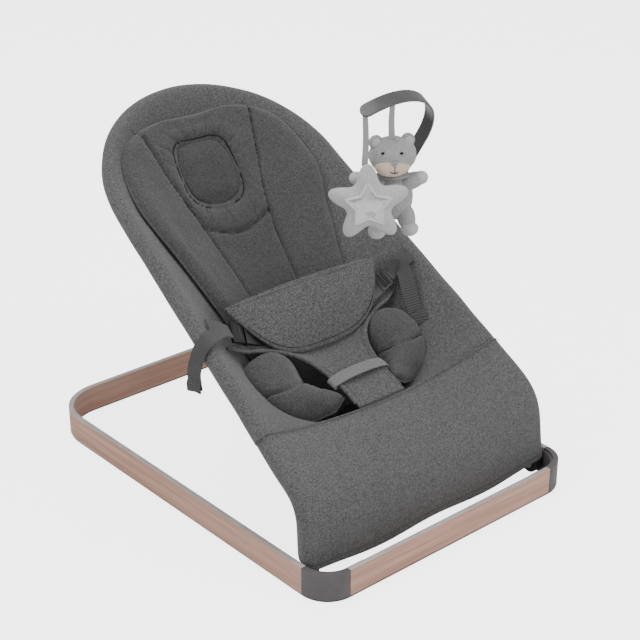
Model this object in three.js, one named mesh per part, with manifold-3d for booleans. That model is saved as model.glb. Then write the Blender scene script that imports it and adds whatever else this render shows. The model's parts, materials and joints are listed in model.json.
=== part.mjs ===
// Baby bouncer seat: a low band frame on the floor, a bent tube seat frame held at
// its two front corners, a fabric sling with a newborn insert and a harness, and a
// toy bar with two hanging plush toys. Millimetres, +Z up, -Y is the front.
// The origin is on the floor, in the middle of the base.
import * as THREE from "three";
import { mergeVertices } from "three/addons/utils/BufferGeometryUtils.js";
import Module from "manifold-3d";

const wasm = await Module();
wasm.setup();

// ---------------------------------------------------------------- driving sizes

const fitGap = 0.3; // between pieces that touch

// Base: a flat band standing on edge, with rubber strips under it.
const baseLength = 572;
const baseWidth = 420;
const baseHeight = 38;
const bandThickness = 7;
const frontCornerRadius = 40;
const rearCornerRadius = 68;
const gripHeight = 2;
const gripInset = 0.8;
const tongueLength = 28;
const tongueThickness = 3;
const sideTongueTop = 28; // low enough for the folded seat's feet to pass over it
const screwRadius = 2;
const screwHeadRadius = 3.6;

// Pivot of the seat in the front corners.
const pivotDepth = 49; // behind the front face of the base
const pivotHeight = 19;
const pivotPinRadius = 3;
const pivotClearance = 0.05;
const lugRadius = 13;
const lugThickness = 8;
const hubThickness = 4.4;
const washerThickness = 1.6;

// Seat frame: a steel tube that stands up from the pivot, bends back at the knee,
// climbs in a straight incline and closes in a round head hoop.
const tubeRadius = 9;
const tubeWall = 1.2;
const riserSideGap = 13; // from the tube's centre line to the inner face of the base
const riserTopDepth = 54;
const riserTopHeight = 82;
const kneeEndDepth = 105;
const kneeEndHeight = 141;
const kneeHandle = 34;
const inclineLength = 373.5;
const inclineAngle = THREE.MathUtils.degToRad(32.4);
const shoulderHalfWidth = 168.5;
const hoopRise = 158; // from the shoulder line to the end of the hoop, in its plane
const hoopAngle = THREE.MathUtils.degToRad(35.5);
const hoopJoint = 0.93; // share of the incline at which the hoop plugs in
const footSocketWall = 1.9;
const footSocketBase = 40;
const footSocketTop = 64;
const tubeFootHeight = 44;
const spigotLength = 60;

// Fabric.
const sleeveClearance = 0.9;
const sleeveThickness = 1.4;
const slingThickness = 3;
const slingEdgeGap = 1.7;
const apronThickness = 3;
const padGap = 2.1;

// Harness.
const webbingWidth = 20;
const webbingThickness = 1.6;
const strapShare = 0.51; // share of the incline at which the side straps are held
const tailGap = 8.7; // from the sleeve to the middle of the hanging tail
const panelThickness = 3;
const buckleWidth = 28;
const femaleLength = 29;
const femaleThickness = 8.6;
const ladderLength = 19;
const ladderWidth = 26;
const ladderThickness = 5;
const prongLength = 21;
const guideLength = 22;

// Toy bar and toys.
const toyBarShare = 0.724; // share of the incline at which the bar is clipped on
const toyBarWidth = 18;
const toyBarThickness = 2.6;
const toyBarStraight = 151; // from the tube's centre line to the start of the arch
const toyBarRadius = 98;
const toyBarSweep = THREE.MathUtils.degToRad(120);
const clipLength = 22;
const clipWall = 3.8;
const bossHeight = 26; // top of the boss above the tube's centre line
const ribbonWidth = 9;
const ribbonThickness = 1.2;
const starX = 33;
const starForward = 8; // the ribbon is sewn to the back of the star
const starReach = 53;
const starThickness = 15;
const starDrop = 118; // from the bar to the middle of the star
const starTurn = THREE.MathUtils.degToRad(-42);
const bearX = 72;
const bearBack = 8; // the ribbon is sewn to the front of the head seam
const bearDrop = 46; // from the bar to the top of the head
const bearTurn = THREE.MathUtils.degToRad(-28);

// ---------------------------------------------------------------- materials

const finish = (color, roughness, metalness = 0) =>
  new THREE.MeshStandardMaterial({ color, roughness, metalness });
const wood = finish(0xc8a894, 0.55);
const connectorPlastic = finish(0x5f5b5b, 0.5);
const rubber = finish(0x2b2929, 0.85);
const steel = finish(0x9a9da0, 0.35, 0.9);
const darkPlastic = finish(0x333536, 0.45);
const melange = finish(0x56585a, 0.95);
const insertCloth = finish(0x4d4f51, 0.95);
const webbing = finish(0x5a5c5e, 0.85);
const keeperCloth = finish(0x7c7e80, 0.9);
const barPlastic = finish(0x8a8c8e, 0.4);
const plush = finish(0xb9babb, 1.0);
const ribbonCloth = finish(0xc9cacb, 0.8);
const mirrorFoil = finish(0xe6e8ea, 0.08, 1.0);

// ---------------------------------------------------------------- geometry helpers

const { lerp } = THREE.MathUtils;
const frontY = -baseLength / 2;

// A point given by its depth behind the front face of the base.
const at = (x, depth, z) => new THREE.Vector3(x, frontY + depth, z);

function solid(geometry) {
  let bare = geometry.index ? geometry.toNonIndexed() : geometry.clone();
  bare.deleteAttribute("normal");
  bare.deleteAttribute("uv");
  bare = mergeVertices(bare, 1e-3);
  return new wasm.Manifold(
    new wasm.Mesh({
      numProp: 3,
      vertProperties: bare.attributes.position.array,
      triVerts: new Uint32Array(bare.index.array),
    }),
  );
}

function fromSolid(made) {
  const { vertProperties, triVerts } = made.getMesh();
  const geometry = new THREE.BufferGeometry();
  geometry.setAttribute("position", new THREE.BufferAttribute(vertProperties, 3));
  geometry.setIndex(new THREE.BufferAttribute(triVerts, 1));
  geometry.computeVertexNormals();
  return geometry;
}

const join = (...pieces) => fromSolid(pieces.map(solid).reduce((a, b) => a.add(b)));
const cut = (body, ...tools) =>
  fromSolid(tools.map(solid).reduce((a, b) => a.subtract(b), solid(body)));

const box = (x0, x1, y0, y1, z0, z1) =>
  new THREE.BoxGeometry(x1 - x0, y1 - y0, z1 - z0).translate((x0 + x1) / 2, (y0 + y1) / 2, (z0 + z1) / 2);

// A round bar along X, from x0 to x1.
const barAlongX = (radius, x0, x1, y, z, sides = 24) =>
  new THREE.CylinderGeometry(radius, radius, x1 - x0, sides)
    .rotateZ(Math.PI / 2)
    .translate((x0 + x1) / 2, y, z);

const ball = (rx, ry, rz, x, y, z) =>
  new THREE.SphereGeometry(1, 10, 7).scale(rx, ry, rz).translate(x, y, z);

// A closed body between two grids: top(u, v) and bottom(u, v), with u and v from 0 to 1.
function slab(top, bottom, columns, rows) {
  const positions = [];
  const triangles = [];
  const perSide = (columns + 1) * (rows + 1);
  for (const surface of [top, bottom])
    for (let j = 0; j <= rows; j++)
      for (let i = 0; i <= columns; i++) positions.push(...surface(i / columns, j / rows).toArray());
  const id = (i, j, side) => side * perSide + j * (columns + 1) + i;
  const quad = (a, b, c, d) => triangles.push(a, b, c, a, c, d);
  for (let j = 0; j < rows; j++)
    for (let i = 0; i < columns; i++) {
      quad(id(i, j, 0), id(i + 1, j, 0), id(i + 1, j + 1, 0), id(i, j + 1, 0));
      quad(id(i, j, 1), id(i, j + 1, 1), id(i + 1, j + 1, 1), id(i + 1, j, 1));
    }
  for (let i = 0; i < columns; i++) {
    quad(id(i, 0, 1), id(i + 1, 0, 1), id(i + 1, 0, 0), id(i, 0, 0));
    quad(id(i, rows, 0), id(i + 1, rows, 0), id(i + 1, rows, 1), id(i, rows, 1));
  }
  for (let j = 0; j < rows; j++) {
    quad(id(0, j, 0), id(0, j + 1, 0), id(0, j + 1, 1), id(0, j, 1));
    quad(id(columns, j, 1), id(columns, j + 1, 1), id(columns, j + 1, 0), id(columns, j, 0));
  }
  const geometry = new THREE.BufferGeometry();
  geometry.setAttribute("position", new THREE.Float32BufferAttribute(positions, 3));
  geometry.setIndex(signedVolume(positions, triangles) > 0 ? triangles : triangles.reverse());
  geometry.computeVertexNormals();
  return geometry;
}

function signedVolume(positions, triangles) {
  const corner = (k) => new THREE.Vector3().fromArray(positions, triangles[k] * 3);
  let volume = 0;
  for (let k = 0; k < triangles.length; k += 3) volume += corner(k).dot(corner(k + 1).cross(corner(k + 2)));
  return volume;
}

// The normal of a surface(u, v), by small steps in u and v.
function normalOf(surface, u, v) {
  const step = 0.01;
  const alongU = surface(Math.min(u + step, 1), v).sub(surface(Math.max(u - step, 0), v));
  const alongV = surface(u, Math.min(v + step, 1)).sub(surface(u, Math.max(v - step, 0)));
  return alongU.cross(alongV).normalize();
}

// A sheet of even or varying thickness that lies from "low" to "high" above a surface.
function layer(surface, low, high, columns, rows) {
  const lifted = (height) => (u, v) => surface(u, v).addScaledVector(normalOf(surface, u, v), height(u, v));
  return slab(lifted(high), lifted(low), columns, rows);
}

function pipe(path, outer, inner, steps, sides = 10) {
  const section = new THREE.Shape().absarc(0, 0, outer, 0, 2 * Math.PI, false);
  if (inner) section.holes.push(new THREE.Path().absarc(0, 0, inner, 0, 2 * Math.PI, true));
  return new THREE.ExtrudeGeometry(section, {
    steps,
    curveSegments: sides / 2, // a full circle gets twice as many
    bevelEnabled: false,
    extrudePath: path,
  });
}

// A flat strap through hand-placed centre points, with its width along one direction.
function strap(points, widthDirection, width, thickness, rows) {
  const path = new THREE.CatmullRomCurve3(points, false, "centripetal");
  const across = widthDirection.clone().normalize();
  const surface = (u, v) => path.getPointAt(v).addScaledVector(across, (u - 0.5) * width);
  return layer(surface, () => -thickness / 2, () => thickness / 2, 1, rows);
}

// ---------------------------------------------------------------- assembly helpers

const bouncer = new THREE.Group();

function place(name, geometry, material, parent = bouncer) {
  const mesh = new THREE.Mesh(geometry, material);
  mesh.name = name;
  parent.add(mesh);
  return mesh;
}

// Right is +X; the left piece is its mirror image.
const leftSide = new THREE.Group();
leftSide.scale.x = -1;
bouncer.add(leftSide);

function placeBothSides(name, geometry, material) {
  place(`${name}_right`, geometry, material);
  place(`${name}_left`, geometry, material, leftSide);
}

// ---------------------------------------------------------------- base

const outerX = baseWidth / 2;
const innerX = outerX - bandThickness;
const rearY = baseLength / 2;
const bandBottom = gripHeight + fitGap;

function extrudeUp(shape, z0, z1, curveSegments = 8) {
  const settings = { depth: z1 - z0, bevelEnabled: false, curveSegments };
  return new THREE.ExtrudeGeometry(shape, settings).translate(0, 0, z0);
}

function frontBarOutline(inset) {
  const reach = outerX - frontCornerRadius - fitGap / 2;
  const shape = new THREE.Shape();
  shape.moveTo(-reach, frontY + inset);
  shape.lineTo(reach, frontY + inset);
  shape.lineTo(reach, frontY + bandThickness - inset);
  shape.lineTo(-reach, frontY + bandThickness - inset);
  return shape;
}

// Quarter ring at the front right corner.
function cornerOutline(inset) {
  const centreX = outerX - frontCornerRadius;
  const centreY = frontY + frontCornerRadius;
  const outer = frontCornerRadius - inset;
  const inner = frontCornerRadius - bandThickness + inset;
  const shape = new THREE.Shape();
  shape.moveTo(centreX, centreY - outer);
  shape.absarc(centreX, centreY, outer, -Math.PI / 2, 0, false);
  shape.lineTo(centreX + inner, centreY);
  shape.absarc(centreX, centreY, inner, 0, -Math.PI / 2, true);
  return shape;
}

// Both sides and the back, with the two bent rear corners.
function rearBowOutline(inset) {
  const startY = frontY + frontCornerRadius + fitGap;
  const outer = rearCornerRadius - inset;
  const inner = rearCornerRadius - bandThickness + inset;
  const centreX = outerX - rearCornerRadius;
  const centreY = rearY - rearCornerRadius;
  const shape = new THREE.Shape();
  shape.moveTo(outerX - inset, startY);
  shape.lineTo(outerX - inset, centreY);
  shape.absarc(centreX, centreY, outer, 0, Math.PI / 2, false);
  shape.lineTo(-centreX, rearY - inset);
  shape.absarc(-centreX, centreY, outer, Math.PI / 2, Math.PI, false);
  shape.lineTo(-outerX + inset, startY);
  shape.lineTo(-innerX - inset, startY);
  shape.lineTo(-innerX - inset, centreY);
  shape.absarc(-centreX, centreY, inner, Math.PI, Math.PI / 2, true);
  shape.lineTo(centreX, rearY - bandThickness + inset);
  shape.absarc(centreX, centreY, inner, Math.PI / 2, 0, true);
  shape.lineTo(innerX + inset, startY);
  return shape;
}

const pivotY = frontY + pivotDepth;
const tongueOuterX = innerX - fitGap;
const tongueInnerX = tongueOuterX - tongueThickness;
const tongueOuterY = frontY + bandThickness + fitGap;
const screwHeight = baseHeight / 2;
const frontScrewX = outerX - frontCornerRadius - tongueLength / 2;
const sideScrewY = frontY + pivotDepth + lugRadius + screwHeadRadius + 2;
const screwTipDepth = bandThickness - 2; // how far a screw bites into the band

// Cutter for the pin's bore through anything between x0 and x1.
const pivotBore = (x0, x1) =>
  barAlongX(pivotPinRadius + pivotClearance, x0 - 1, x1 + 1, pivotY, pivotHeight);

// Connector: the outer quarter ring and two tongues behind the band ends. The side
// tongue carries the pivot pin.
function cornerConnector() {
  const ring = extrudeUp(cornerOutline(0), bandBottom, baseHeight, 10);
  const cornerX = outerX - frontCornerRadius;
  const cornerY = frontY + frontCornerRadius;
  const top = baseHeight - 3;
  const overlap = 6;
  const frontTongue = box(
    cornerX - tongueLength, cornerX + overlap,
    tongueOuterY, tongueOuterY + tongueThickness, bandBottom, top,
  );
  const sideTongue = box(
    tongueInnerX, tongueOuterX,
    cornerY - overlap, sideScrewY + 2 * screwHeadRadius, bandBottom, sideTongueTop,
  );
  const web = extrudeUp(cornerWebOutline(), bandBottom, top, 10);
  const pinBore = pivotBore(tongueInnerX, tongueOuterX);
  const frontBore = screwBore().translate(frontScrewX, tongueOuterY, screwHeight);
  const sideBore = screwBore().rotateZ(Math.PI / 2).translate(tongueOuterX, sideScrewY, screwHeight);
  return cut(join(ring, web, frontTongue, sideTongue), pinBore, frontBore, sideBore);
}

// The thicker inside of the corner that joins the ring to the tongues.
function cornerWebOutline() {
  const centreX = outerX - frontCornerRadius;
  const centreY = frontY + frontCornerRadius;
  const outer = frontCornerRadius - bandThickness + 1;
  const inner = frontCornerRadius - bandThickness - fitGap - tongueThickness;
  const shape = new THREE.Shape();
  shape.moveTo(centreX, centreY - inner - tongueThickness);
  shape.absarc(centreX, centreY, outer, -Math.PI / 2 + 0.04, -0.04, false);
  shape.lineTo(centreX + inner + tongueThickness, centreY);
  shape.lineTo(centreX + inner, centreY);
  shape.absarc(centreX, centreY, inner, 0, -Math.PI / 2, true);
  return shape;
}

const screwBoreRadius = screwRadius + fitGap / 2;
const screwBore = (length = 30) => new THREE.CylinderGeometry(screwBoreRadius, screwBoreRadius, length, 16);

// A screw with the underside of its head at the origin and its shank along -Y, as the
// front screws lie.
function screw(shankLength) {
  const profile = [
    new THREE.Vector2(0, -shankLength),
    new THREE.Vector2(screwRadius, -shankLength),
    new THREE.Vector2(screwRadius, 0),
    new THREE.Vector2(screwHeadRadius, 0),
    new THREE.Vector2(screwHeadRadius, 1.6),
    new THREE.Vector2(screwRadius, 2.4),
    new THREE.Vector2(0, 2.4),
  ];
  return new THREE.LatheGeometry(profile, 16);
}

function bandScrewHole(x, y, alongX) {
  const hole = screwBore(2 * screwTipDepth);
  return (alongX ? hole.rotateZ(Math.PI / 2) : hole).translate(x, y, screwHeight);
}

function buildBase() {
  const frontInnerY = frontY + bandThickness;
  const frontBar = cut(
    extrudeUp(frontBarOutline(0), bandBottom, baseHeight),
    bandScrewHole(frontScrewX, frontInnerY, false),
    bandScrewHole(-frontScrewX, frontInnerY, false),
  );
  const rearBow = cut(
    extrudeUp(rearBowOutline(0), bandBottom, baseHeight),
    bandScrewHole(innerX, sideScrewY, true),
    bandScrewHole(-innerX, sideScrewY, true),
  );
  place("front_bar", frontBar, wood);
  place("rear_bow", rearBow, wood);
  placeBothSides("corner_connector", cornerConnector(), connectorPlastic);
  place("grip_front", extrudeUp(frontBarOutline(gripInset), 0, gripHeight), rubber);
  place("grip_rear", extrudeUp(rearBowOutline(gripInset), 0, gripHeight), rubber);
  placeBothSides("grip_corner", extrudeUp(cornerOutline(gripInset), 0, gripHeight), rubber);
  const shank = tongueThickness + 2 * fitGap + screwTipDepth - 0.6;
  const headSeat = tongueOuterY + tongueThickness + fitGap;
  const frontScrew = screw(shank).translate(frontScrewX, headSeat, screwHeight);
  const sideScrew = screw(shank)
    .rotateZ(Math.PI / 2)
    .translate(tongueInnerX - fitGap, sideScrewY, screwHeight);
  placeBothSides("front_screw", frontScrew, steel);
  placeBothSides("side_screw", sideScrew, steel);
}

// ---------------------------------------------------------------- seat frame curve

const riserX = innerX - riserSideGap;
const inclineRun = inclineLength * Math.cos(inclineAngle);
const inclineRise = inclineLength * Math.sin(inclineAngle);
const shoulderDepth = kneeEndDepth + inclineRun;
const shoulderHeight = kneeEndHeight + inclineRise;
const sleeveInner = tubeRadius + sleeveClearance;
const sleeveOuter = sleeveInner + sleeveThickness;

const riserTop = at(riserX, riserTopDepth, riserTopHeight);
const pivotPoint = at(riserX, pivotDepth, pivotHeight);

function riserPoint(height) {
  const share = (height - pivotHeight) / (riserTopHeight - pivotHeight);
  return pivotPoint.clone().lerp(riserTop, share);
}

function inclinePoint(share) {
  const x = lerp(riserX, shoulderHalfWidth, share);
  return at(x, kneeEndDepth + inclineRun * share, kneeEndHeight + inclineRise * share);
}

function hoopPoint(angle, inset = 0) {
  const along = (hoopRise - inset) * Math.sin(angle);
  const x = (shoulderHalfWidth - inset) * Math.cos(angle);
  return at(x, shoulderDepth + along * Math.cos(hoopAngle), shoulderHeight + along * Math.sin(hoopAngle));
}

const seatNormal = new THREE.Vector3(0, -Math.sin(inclineAngle), Math.cos(inclineAngle));
const riserDirection = riserTop.clone().sub(pivotPoint).normalize();
const railDirection = inclinePoint(1).sub(inclinePoint(0)).normalize();
const kneeCurve = new THREE.CubicBezierCurve3(
  riserTop,
  riserTop.clone().addScaledVector(riserDirection, kneeHandle),
  inclinePoint(0).addScaledVector(railDirection, -kneeHandle),
  inclinePoint(0),
);

function sideRail(startHeight) {
  const path = new THREE.CurvePath();
  path.add(new THREE.LineCurve3(riserPoint(startHeight), riserTop));
  path.add(kneeCurve);
  path.add(new THREE.LineCurve3(inclinePoint(0), inclinePoint(hoopJoint)));
  return path;
}

function headRail() {
  const start = hoopJoint + fitGap / inclineLength;
  const right = [inclinePoint(start), inclinePoint(lerp(start, 1, 0.5)), inclinePoint(0.995)];
  const mirrored = right.map((p) => new THREE.Vector3(-p.x, p.y, p.z)).reverse();
  const arc = [];
  for (let k = 1; k < 12; k++) arc.push(hoopPoint((Math.PI * k) / 12));
  return new THREE.CatmullRomCurve3([...right, ...arc, ...mirrored], false, "centripetal");
}

// ---------------------------------------------------------------- seat frame pieces

const lugOuterX = riserX + 2.7;
const lugInnerX = lugOuterX - lugThickness;
const hubInnerX = lugOuterX + fitGap;
const hubOuterX = hubInnerX + hubThickness;
const washerInnerX = hubOuterX + fitGap;
const washerOuterX = washerInnerX + washerThickness;

// Foot: a flat lug on the pivot pin with a socket on top for the tube.
function tubeFoot() {
  const socketOuter = tubeRadius + fitGap + footSocketWall;
  const lug = barAlongX(lugRadius, lugInnerX, lugOuterX, pivotY, pivotHeight, 32);
  const neck = box(lugInnerX, lugOuterX, pivotY - 8, pivotY + 8, pivotHeight, footSocketBase + 3);
  const socketLine = new THREE.LineCurve3(riserPoint(footSocketBase), riserPoint(footSocketTop));
  const boreLine = new THREE.LineCurve3(riserPoint(tubeFootHeight - fitGap), riserPoint(footSocketTop + 5));
  const socket = pipe(socketLine, socketOuter, 0, 1, 24);
  const tubeBore = pipe(boreLine, tubeRadius + fitGap, 0, 1, 24);
  return cut(join(lug, neck, socket), tubeBore, pivotBore(lugInnerX, lugOuterX));
}

function ringAlongX(radius, x0, x1) {
  const disc = barAlongX(radius, x0, x1, pivotY, pivotHeight, 32);
  return cut(disc, pivotBore(x0, x1));
}

function pivotPin() {
  const shank = barAlongX(pivotPinRadius, lugInnerX - fitGap - 1, tongueOuterX, pivotY, pivotHeight);
  const head = barAlongX(lugRadius / 2, lugInnerX - fitGap - 2.4, lugInnerX - fitGap, pivotY, pivotHeight);
  return join(shank, head);
}

function buildSeatFrame() {
  const inner = tubeRadius - tubeWall;
  placeBothSides("tube_foot", tubeFoot(), darkPlastic);
  placeBothSides("lock_hub", ringAlongX(lugRadius, hubInnerX, hubOuterX), darkPlastic);
  placeBothSides("pivot_washer", ringAlongX(lugRadius * 0.6, washerInnerX, washerOuterX), steel);
  placeBothSides("pivot_pin", pivotPin(), steel);
  placeBothSides("side_tube", pipe(sideRail(tubeFootHeight), tubeRadius, inner, 20), steel);
  place("head_hoop", pipe(headRail(), tubeRadius, inner, 22), steel);
  const half = spigotLength / 2 / inclineLength;
  const spigotPath = new THREE.LineCurve3(inclinePoint(hoopJoint - half), inclinePoint(hoopJoint + half / 2));
  placeBothSides("hoop_spigot", pipe(spigotPath, inner - 2 * fitGap, 0, 1, 12), steel);
}

// ---------------------------------------------------------------- fabric sling

const slingEdge = sleeveOuter + slingEdgeGap;

// Stations of the sling: a point on the side edge and the point it hangs down to in
// the middle. "drop" is how far the cloth hangs below the tube and "shift" how far
// forward its lowest point has slid.
const kneeSeamShare = 0.083;
const slingStations = [
  { share: kneeSeamShare, drop: 17, shift: 0 },
  { share: 0.2, drop: 66, shift: 16 },
  { share: 0.3, drop: 101, shift: 21 },
  { share: 0.42, drop: 124, shift: 25 },
  { share: 0.54, drop: 129, shift: 23 },
  { share: 0.68, drop: 115, shift: 17 },
  { share: 0.84, drop: 91, shift: 6 },
  { share: 1, drop: 70, shift: 1 },
].map(({ share, drop, shift }) => {
  const rail = inclinePoint(share);
  return {
    edge: rail.clone().setX(rail.x - slingEdge),
    middle: new THREE.Vector3(0, rail.y - shift, rail.z - drop),
  };
});
const hoopStations = [
  { degrees: 20, drop: 52 },
  { degrees: 40, drop: 29 },
  { degrees: 58, drop: 12 },
  { degrees: 76, drop: 2 },
].map(({ degrees, drop }) => {
  const edge = hoopPoint(THREE.MathUtils.degToRad(degrees), slingEdge);
  return { edge, middle: new THREE.Vector3(0, edge.y + drop / 25, edge.z - drop) };
});
const stations = [...slingStations, ...hoopStations];
const slingEdgeCurve = new THREE.CatmullRomCurve3(stations.map((s) => s.edge));
const slingMiddleCurve = new THREE.CatmullRomCurve3(stations.map((s) => s.middle));
const slingRound = 1.9; // 1 hangs in a V, 2 in a parabola

// side runs from -1 at the left tube to 1 at the right tube, v from the knee to the head.
function slingPoint(side, v) {
  const edge = slingEdgeCurve.getPoint(v);
  const middle = slingMiddleCurve.getPoint(v);
  const rise = Math.abs(side) ** slingRound;
  return new THREE.Vector3(edge.x * side, lerp(middle.y, edge.y, rise), lerp(middle.z, edge.z, rise));
}

// The point of the sling at a given distance from the middle line.
const slingAt = (x, v) => slingPoint(x / slingEdgeCurve.getPoint(v).x, v);

function backSling() {
  const half = slingThickness / 2;
  const surface = (u, v) => slingPoint(2 * u - 1, v);
  return layer(surface, () => -half, () => half, 14, 15);
}

// Apron: from the knee seam over the knee and down inside the base.
function frontApron() {
  const side = riserX - slingEdge;
  const hemSide = lugInnerX - 7;
  const topDepth = 129;
  const topSide = inclinePoint((topDepth - kneeEndDepth) / inclineRun).x - slingEdge;
  const edges = [
    at(hemSide, 40, 24), at(hemSide, 42, 46), at(side, 45, 68), at(side, 52, 91),
    at(side, 68, 117), at(side, 98, 138), at(topSide, topDepth, 153),
  ];
  const middles = [
    at(0, 38, 22), at(0, 38, 46), at(0, 41, 67), at(0, 50, 89),
    at(0, 69, 114), at(0, 98, 130), at(0, 129, 136),
  ];
  const edgeCurve = new THREE.CatmullRomCurve3(edges);
  const middleCurve = new THREE.CatmullRomCurve3(middles);
  const surface = (u, v) => {
    const turn = 2 * u - 1;
    const edge = edgeCurve.getPoint(v);
    const middle = middleCurve.getPoint(v);
    const rise = turn * turn;
    return new THREE.Vector3(edge.x * turn, lerp(middle.y, edge.y, rise), lerp(middle.z, edge.z, rise));
  };
  const half = apronThickness / 2;
  return layer(surface, () => -half, () => half, 10, 12);
}

function buildCover() {
  placeBothSides("tube_sleeve", pipe(sideRail(footSocketTop + 2), sleeveOuter, sleeveInner, 20), melange);
  place("head_sleeve", pipe(headRail(), sleeveOuter, sleeveInner, 22), melange);
  place("back_sling", backSling(), melange);
  place("front_apron", frontApron(), melange);
}

// ---------------------------------------------------------------- newborn insert

const padBase = slingThickness / 2 + padGap;

// A pad lying on the sling between two v values, its half width given by a function.
// It is thickest in the middle and thins to its edges.
function padOnSling(v0, v1, leftAt, rightAt, base, edgeThickness, crown, columns, rows) {
  const surface = (u, t) => {
    const v = lerp(v0, v1, t);
    return slingAt(lerp(leftAt(t), rightAt(t), u), v);
  };
  const swell = (s) => 1 - Math.abs(2 * s - 1) ** 3;
  const top = (u, t) => base + edgeThickness + crown * swell(u) * swell(t);
  return layer(surface, () => base, top, columns, rows);
}

const insertFoot = 0.17;
const insertHead = 0.925;
const padEdge = 5;
const padCrown = 10;
const ringEdge = 3;
const ringCrown = 4;

// Half width of the back pad from the seat up to its round head.
function insertHalfWidth(t) {
  const widths = [86, 92, 98, 106, 128, 146, 138, 106, 44];
  const place = t * (widths.length - 1);
  const k = Math.min(Math.floor(place), widths.length - 2);
  return lerp(widths[k], widths[k + 1], place - k);
}

function buildInsert() {
  const pad = padOnSling(
    insertFoot, insertHead, (t) => -insertHalfWidth(t), insertHalfWidth, padBase, padEdge, padCrown, 12, 14,
  );
  place("insert_pad", pad, insertCloth);
  const onBackPad = padBase + padEdge + padCrown + padGap;
  const headRing = padOnSling(0.64, 0.87, () => -60, () => 60, onBackPad, ringEdge, ringCrown, 8, 8);
  place("head_ring", headRing, insertCloth);
  const onHeadRing = onBackPad + ringEdge + ringCrown + padGap;
  const pillow = padOnSling(0.69, 0.845, () => -48, () => 48, onHeadRing, 3, 7, 8, 8);
  place("head_pillow", pillow, insertCloth);
  const bolster = padOnSling(
    0.09, 0.33, (t) => 41 + 18 * t, (t) => 110 + 29 * Math.sin(Math.PI * 0.75 * t), onBackPad, 6, 12, 8, 8,
  );
  placeBothSides("thigh_bolster", bolster, insertCloth);
}

// ---------------------------------------------------------------- harness

// Under layer: the crotch strip that rises from the knee seam and widens to both sides.
function harnessPanel() {
  const middles = [
    at(0, 133, 146), at(0, 159, 157), at(0, 187, 164), at(0, 212, 168), at(0, 236, 172), at(0, 258, 190),
  ];
  const sides = [
    at(37, 133, 146), at(36, 159, 156), at(39, 187, 164), at(47, 212, 174), at(70, 236, 185), at(83, 254, 193),
  ];
  const middleCurve = new THREE.CatmullRomCurve3(middles);
  const sideCurve = new THREE.CatmullRomCurve3(sides);
  const surface = (u, v) => {
    const turn = 2 * u - 1;
    const side = sideCurve.getPoint(v);
    const middle = middleCurve.getPoint(v);
    const rise = turn * turn;
    return new THREE.Vector3(side.x * turn, lerp(middle.y, side.y, rise), lerp(middle.z, side.z, rise));
  };
  const half = panelThickness / 2;
  return layer(surface, () => -half, () => half, 10, 10);
}

// Upper flap: a straight top edge and a round lower edge. It lies over the buckles.
function flapSurface(u, v) {
  const turn = 2 * u - 1;
  const reach = Math.abs(turn);
  const top = at(123 * turn, 286 + 17 * turn * turn, buckleOrigin.z + 34.3 - 7 * turn * turn);
  const low = at(118 * turn, 238 + 42 * reach ** 5, buckleOrigin.z - 37.7 + 63.5 * reach ** 2.5);
  const bulge = 5 * Math.sin(Math.PI * v) * (1 - turn * turn);
  return top.lerp(low, v).add(new THREE.Vector3(0, -0.87 * bulge, 0.5 * bulge));
}

function keeperLoop() {
  const clear = 1.2;
  const outer = box(-43, 43, -7, 7, -panelThickness / 2 - 3, panelThickness / 2 + 3);
  const opening = box(-41, 41, -8, 8, -panelThickness / 2 - clear, panelThickness / 2 + clear);
  return cut(outer, opening);
}

// Frame of a buckle: local X runs out to the strap, Y across it and Z up out of it.
const buckleOut = new THREE.Vector3(0.913, -0.014, 0.407).normalize();
const buckleAcross = new THREE.Vector3(0.1, -0.65, -0.75);
buckleAcross.addScaledVector(buckleOut, -buckleAcross.dot(buckleOut)).normalize();
const buckleUp = buckleOut.clone().cross(buckleAcross).normalize();
const buckleReach = 112.3; // from the middle of the seat to the mouth of the socket
const buckleOrigin = at(buckleReach, 264.5, slingAt(buckleReach, 0.42).z + 16.5);
const buckleFrame = new THREE.Matrix4()
  .makeBasis(buckleOut, buckleAcross, buckleUp)
  .setPosition(buckleOrigin);

const shellWall = 1.4;
const armOuter = buckleWidth / 2 - shellWall - fitGap;
const armInner = armOuter - 3.4;

function buckleFemale() {
  const inner = femaleThickness / 2 - shellWall;
  const side = buckleWidth / 2;
  const face = femaleThickness / 2;
  const shell = box(-femaleLength - 1, -1, -side, side, -face, face);
  const hollow = box(-femaleLength + 2, 0, -side + shellWall, side - shellWall, -inner, inner);
  const windows = box(-prongLength - 1, -9, -buckleWidth, buckleWidth, -inner, inner);
  return cut(shell, hollow, windows);
}

function buckleMale() {
  const half = ladderWidth / 2;
  const rim = 3;
  const frame = box(0, ladderLength, -half, half, -ladderThickness / 2, ladderThickness / 2);
  const guide = box(-guideLength, 1, -3, 3, -1.4, 1.4);
  const slot = (x) => box(x, x + 3.6, -half + rim, half - rim, -ladderThickness, ladderThickness);
  return cut(join(frame, guide), slot(5), slot(11.8));
}

// A squeeze prong with its barb, on the +Y side of the buckle.
function buckleProng() {
  const arm = box(-prongLength, -fitGap, armInner, armOuter, -1.9, 1.9);
  const barb = box(-prongLength + 1, -11, armOuter - 1, armOuter + 1.6, -1.9, 1.9);
  return join(arm, barb);
}

function buildBuckles() {
  const inFrame = (geometry) => geometry.applyMatrix4(buckleFrame);
  placeBothSides("buckle_socket", inFrame(buckleFemale()), darkPlastic);
  placeBothSides("buckle_ladder", inFrame(buckleMale()), darkPlastic);
  placeBothSides("lower_prong", inFrame(buckleProng()), darkPlastic);
  placeBothSides("upper_prong", inFrame(fromSolid(solid(buckleProng().rotateX(Math.PI)))), darkPlastic);
}

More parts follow.
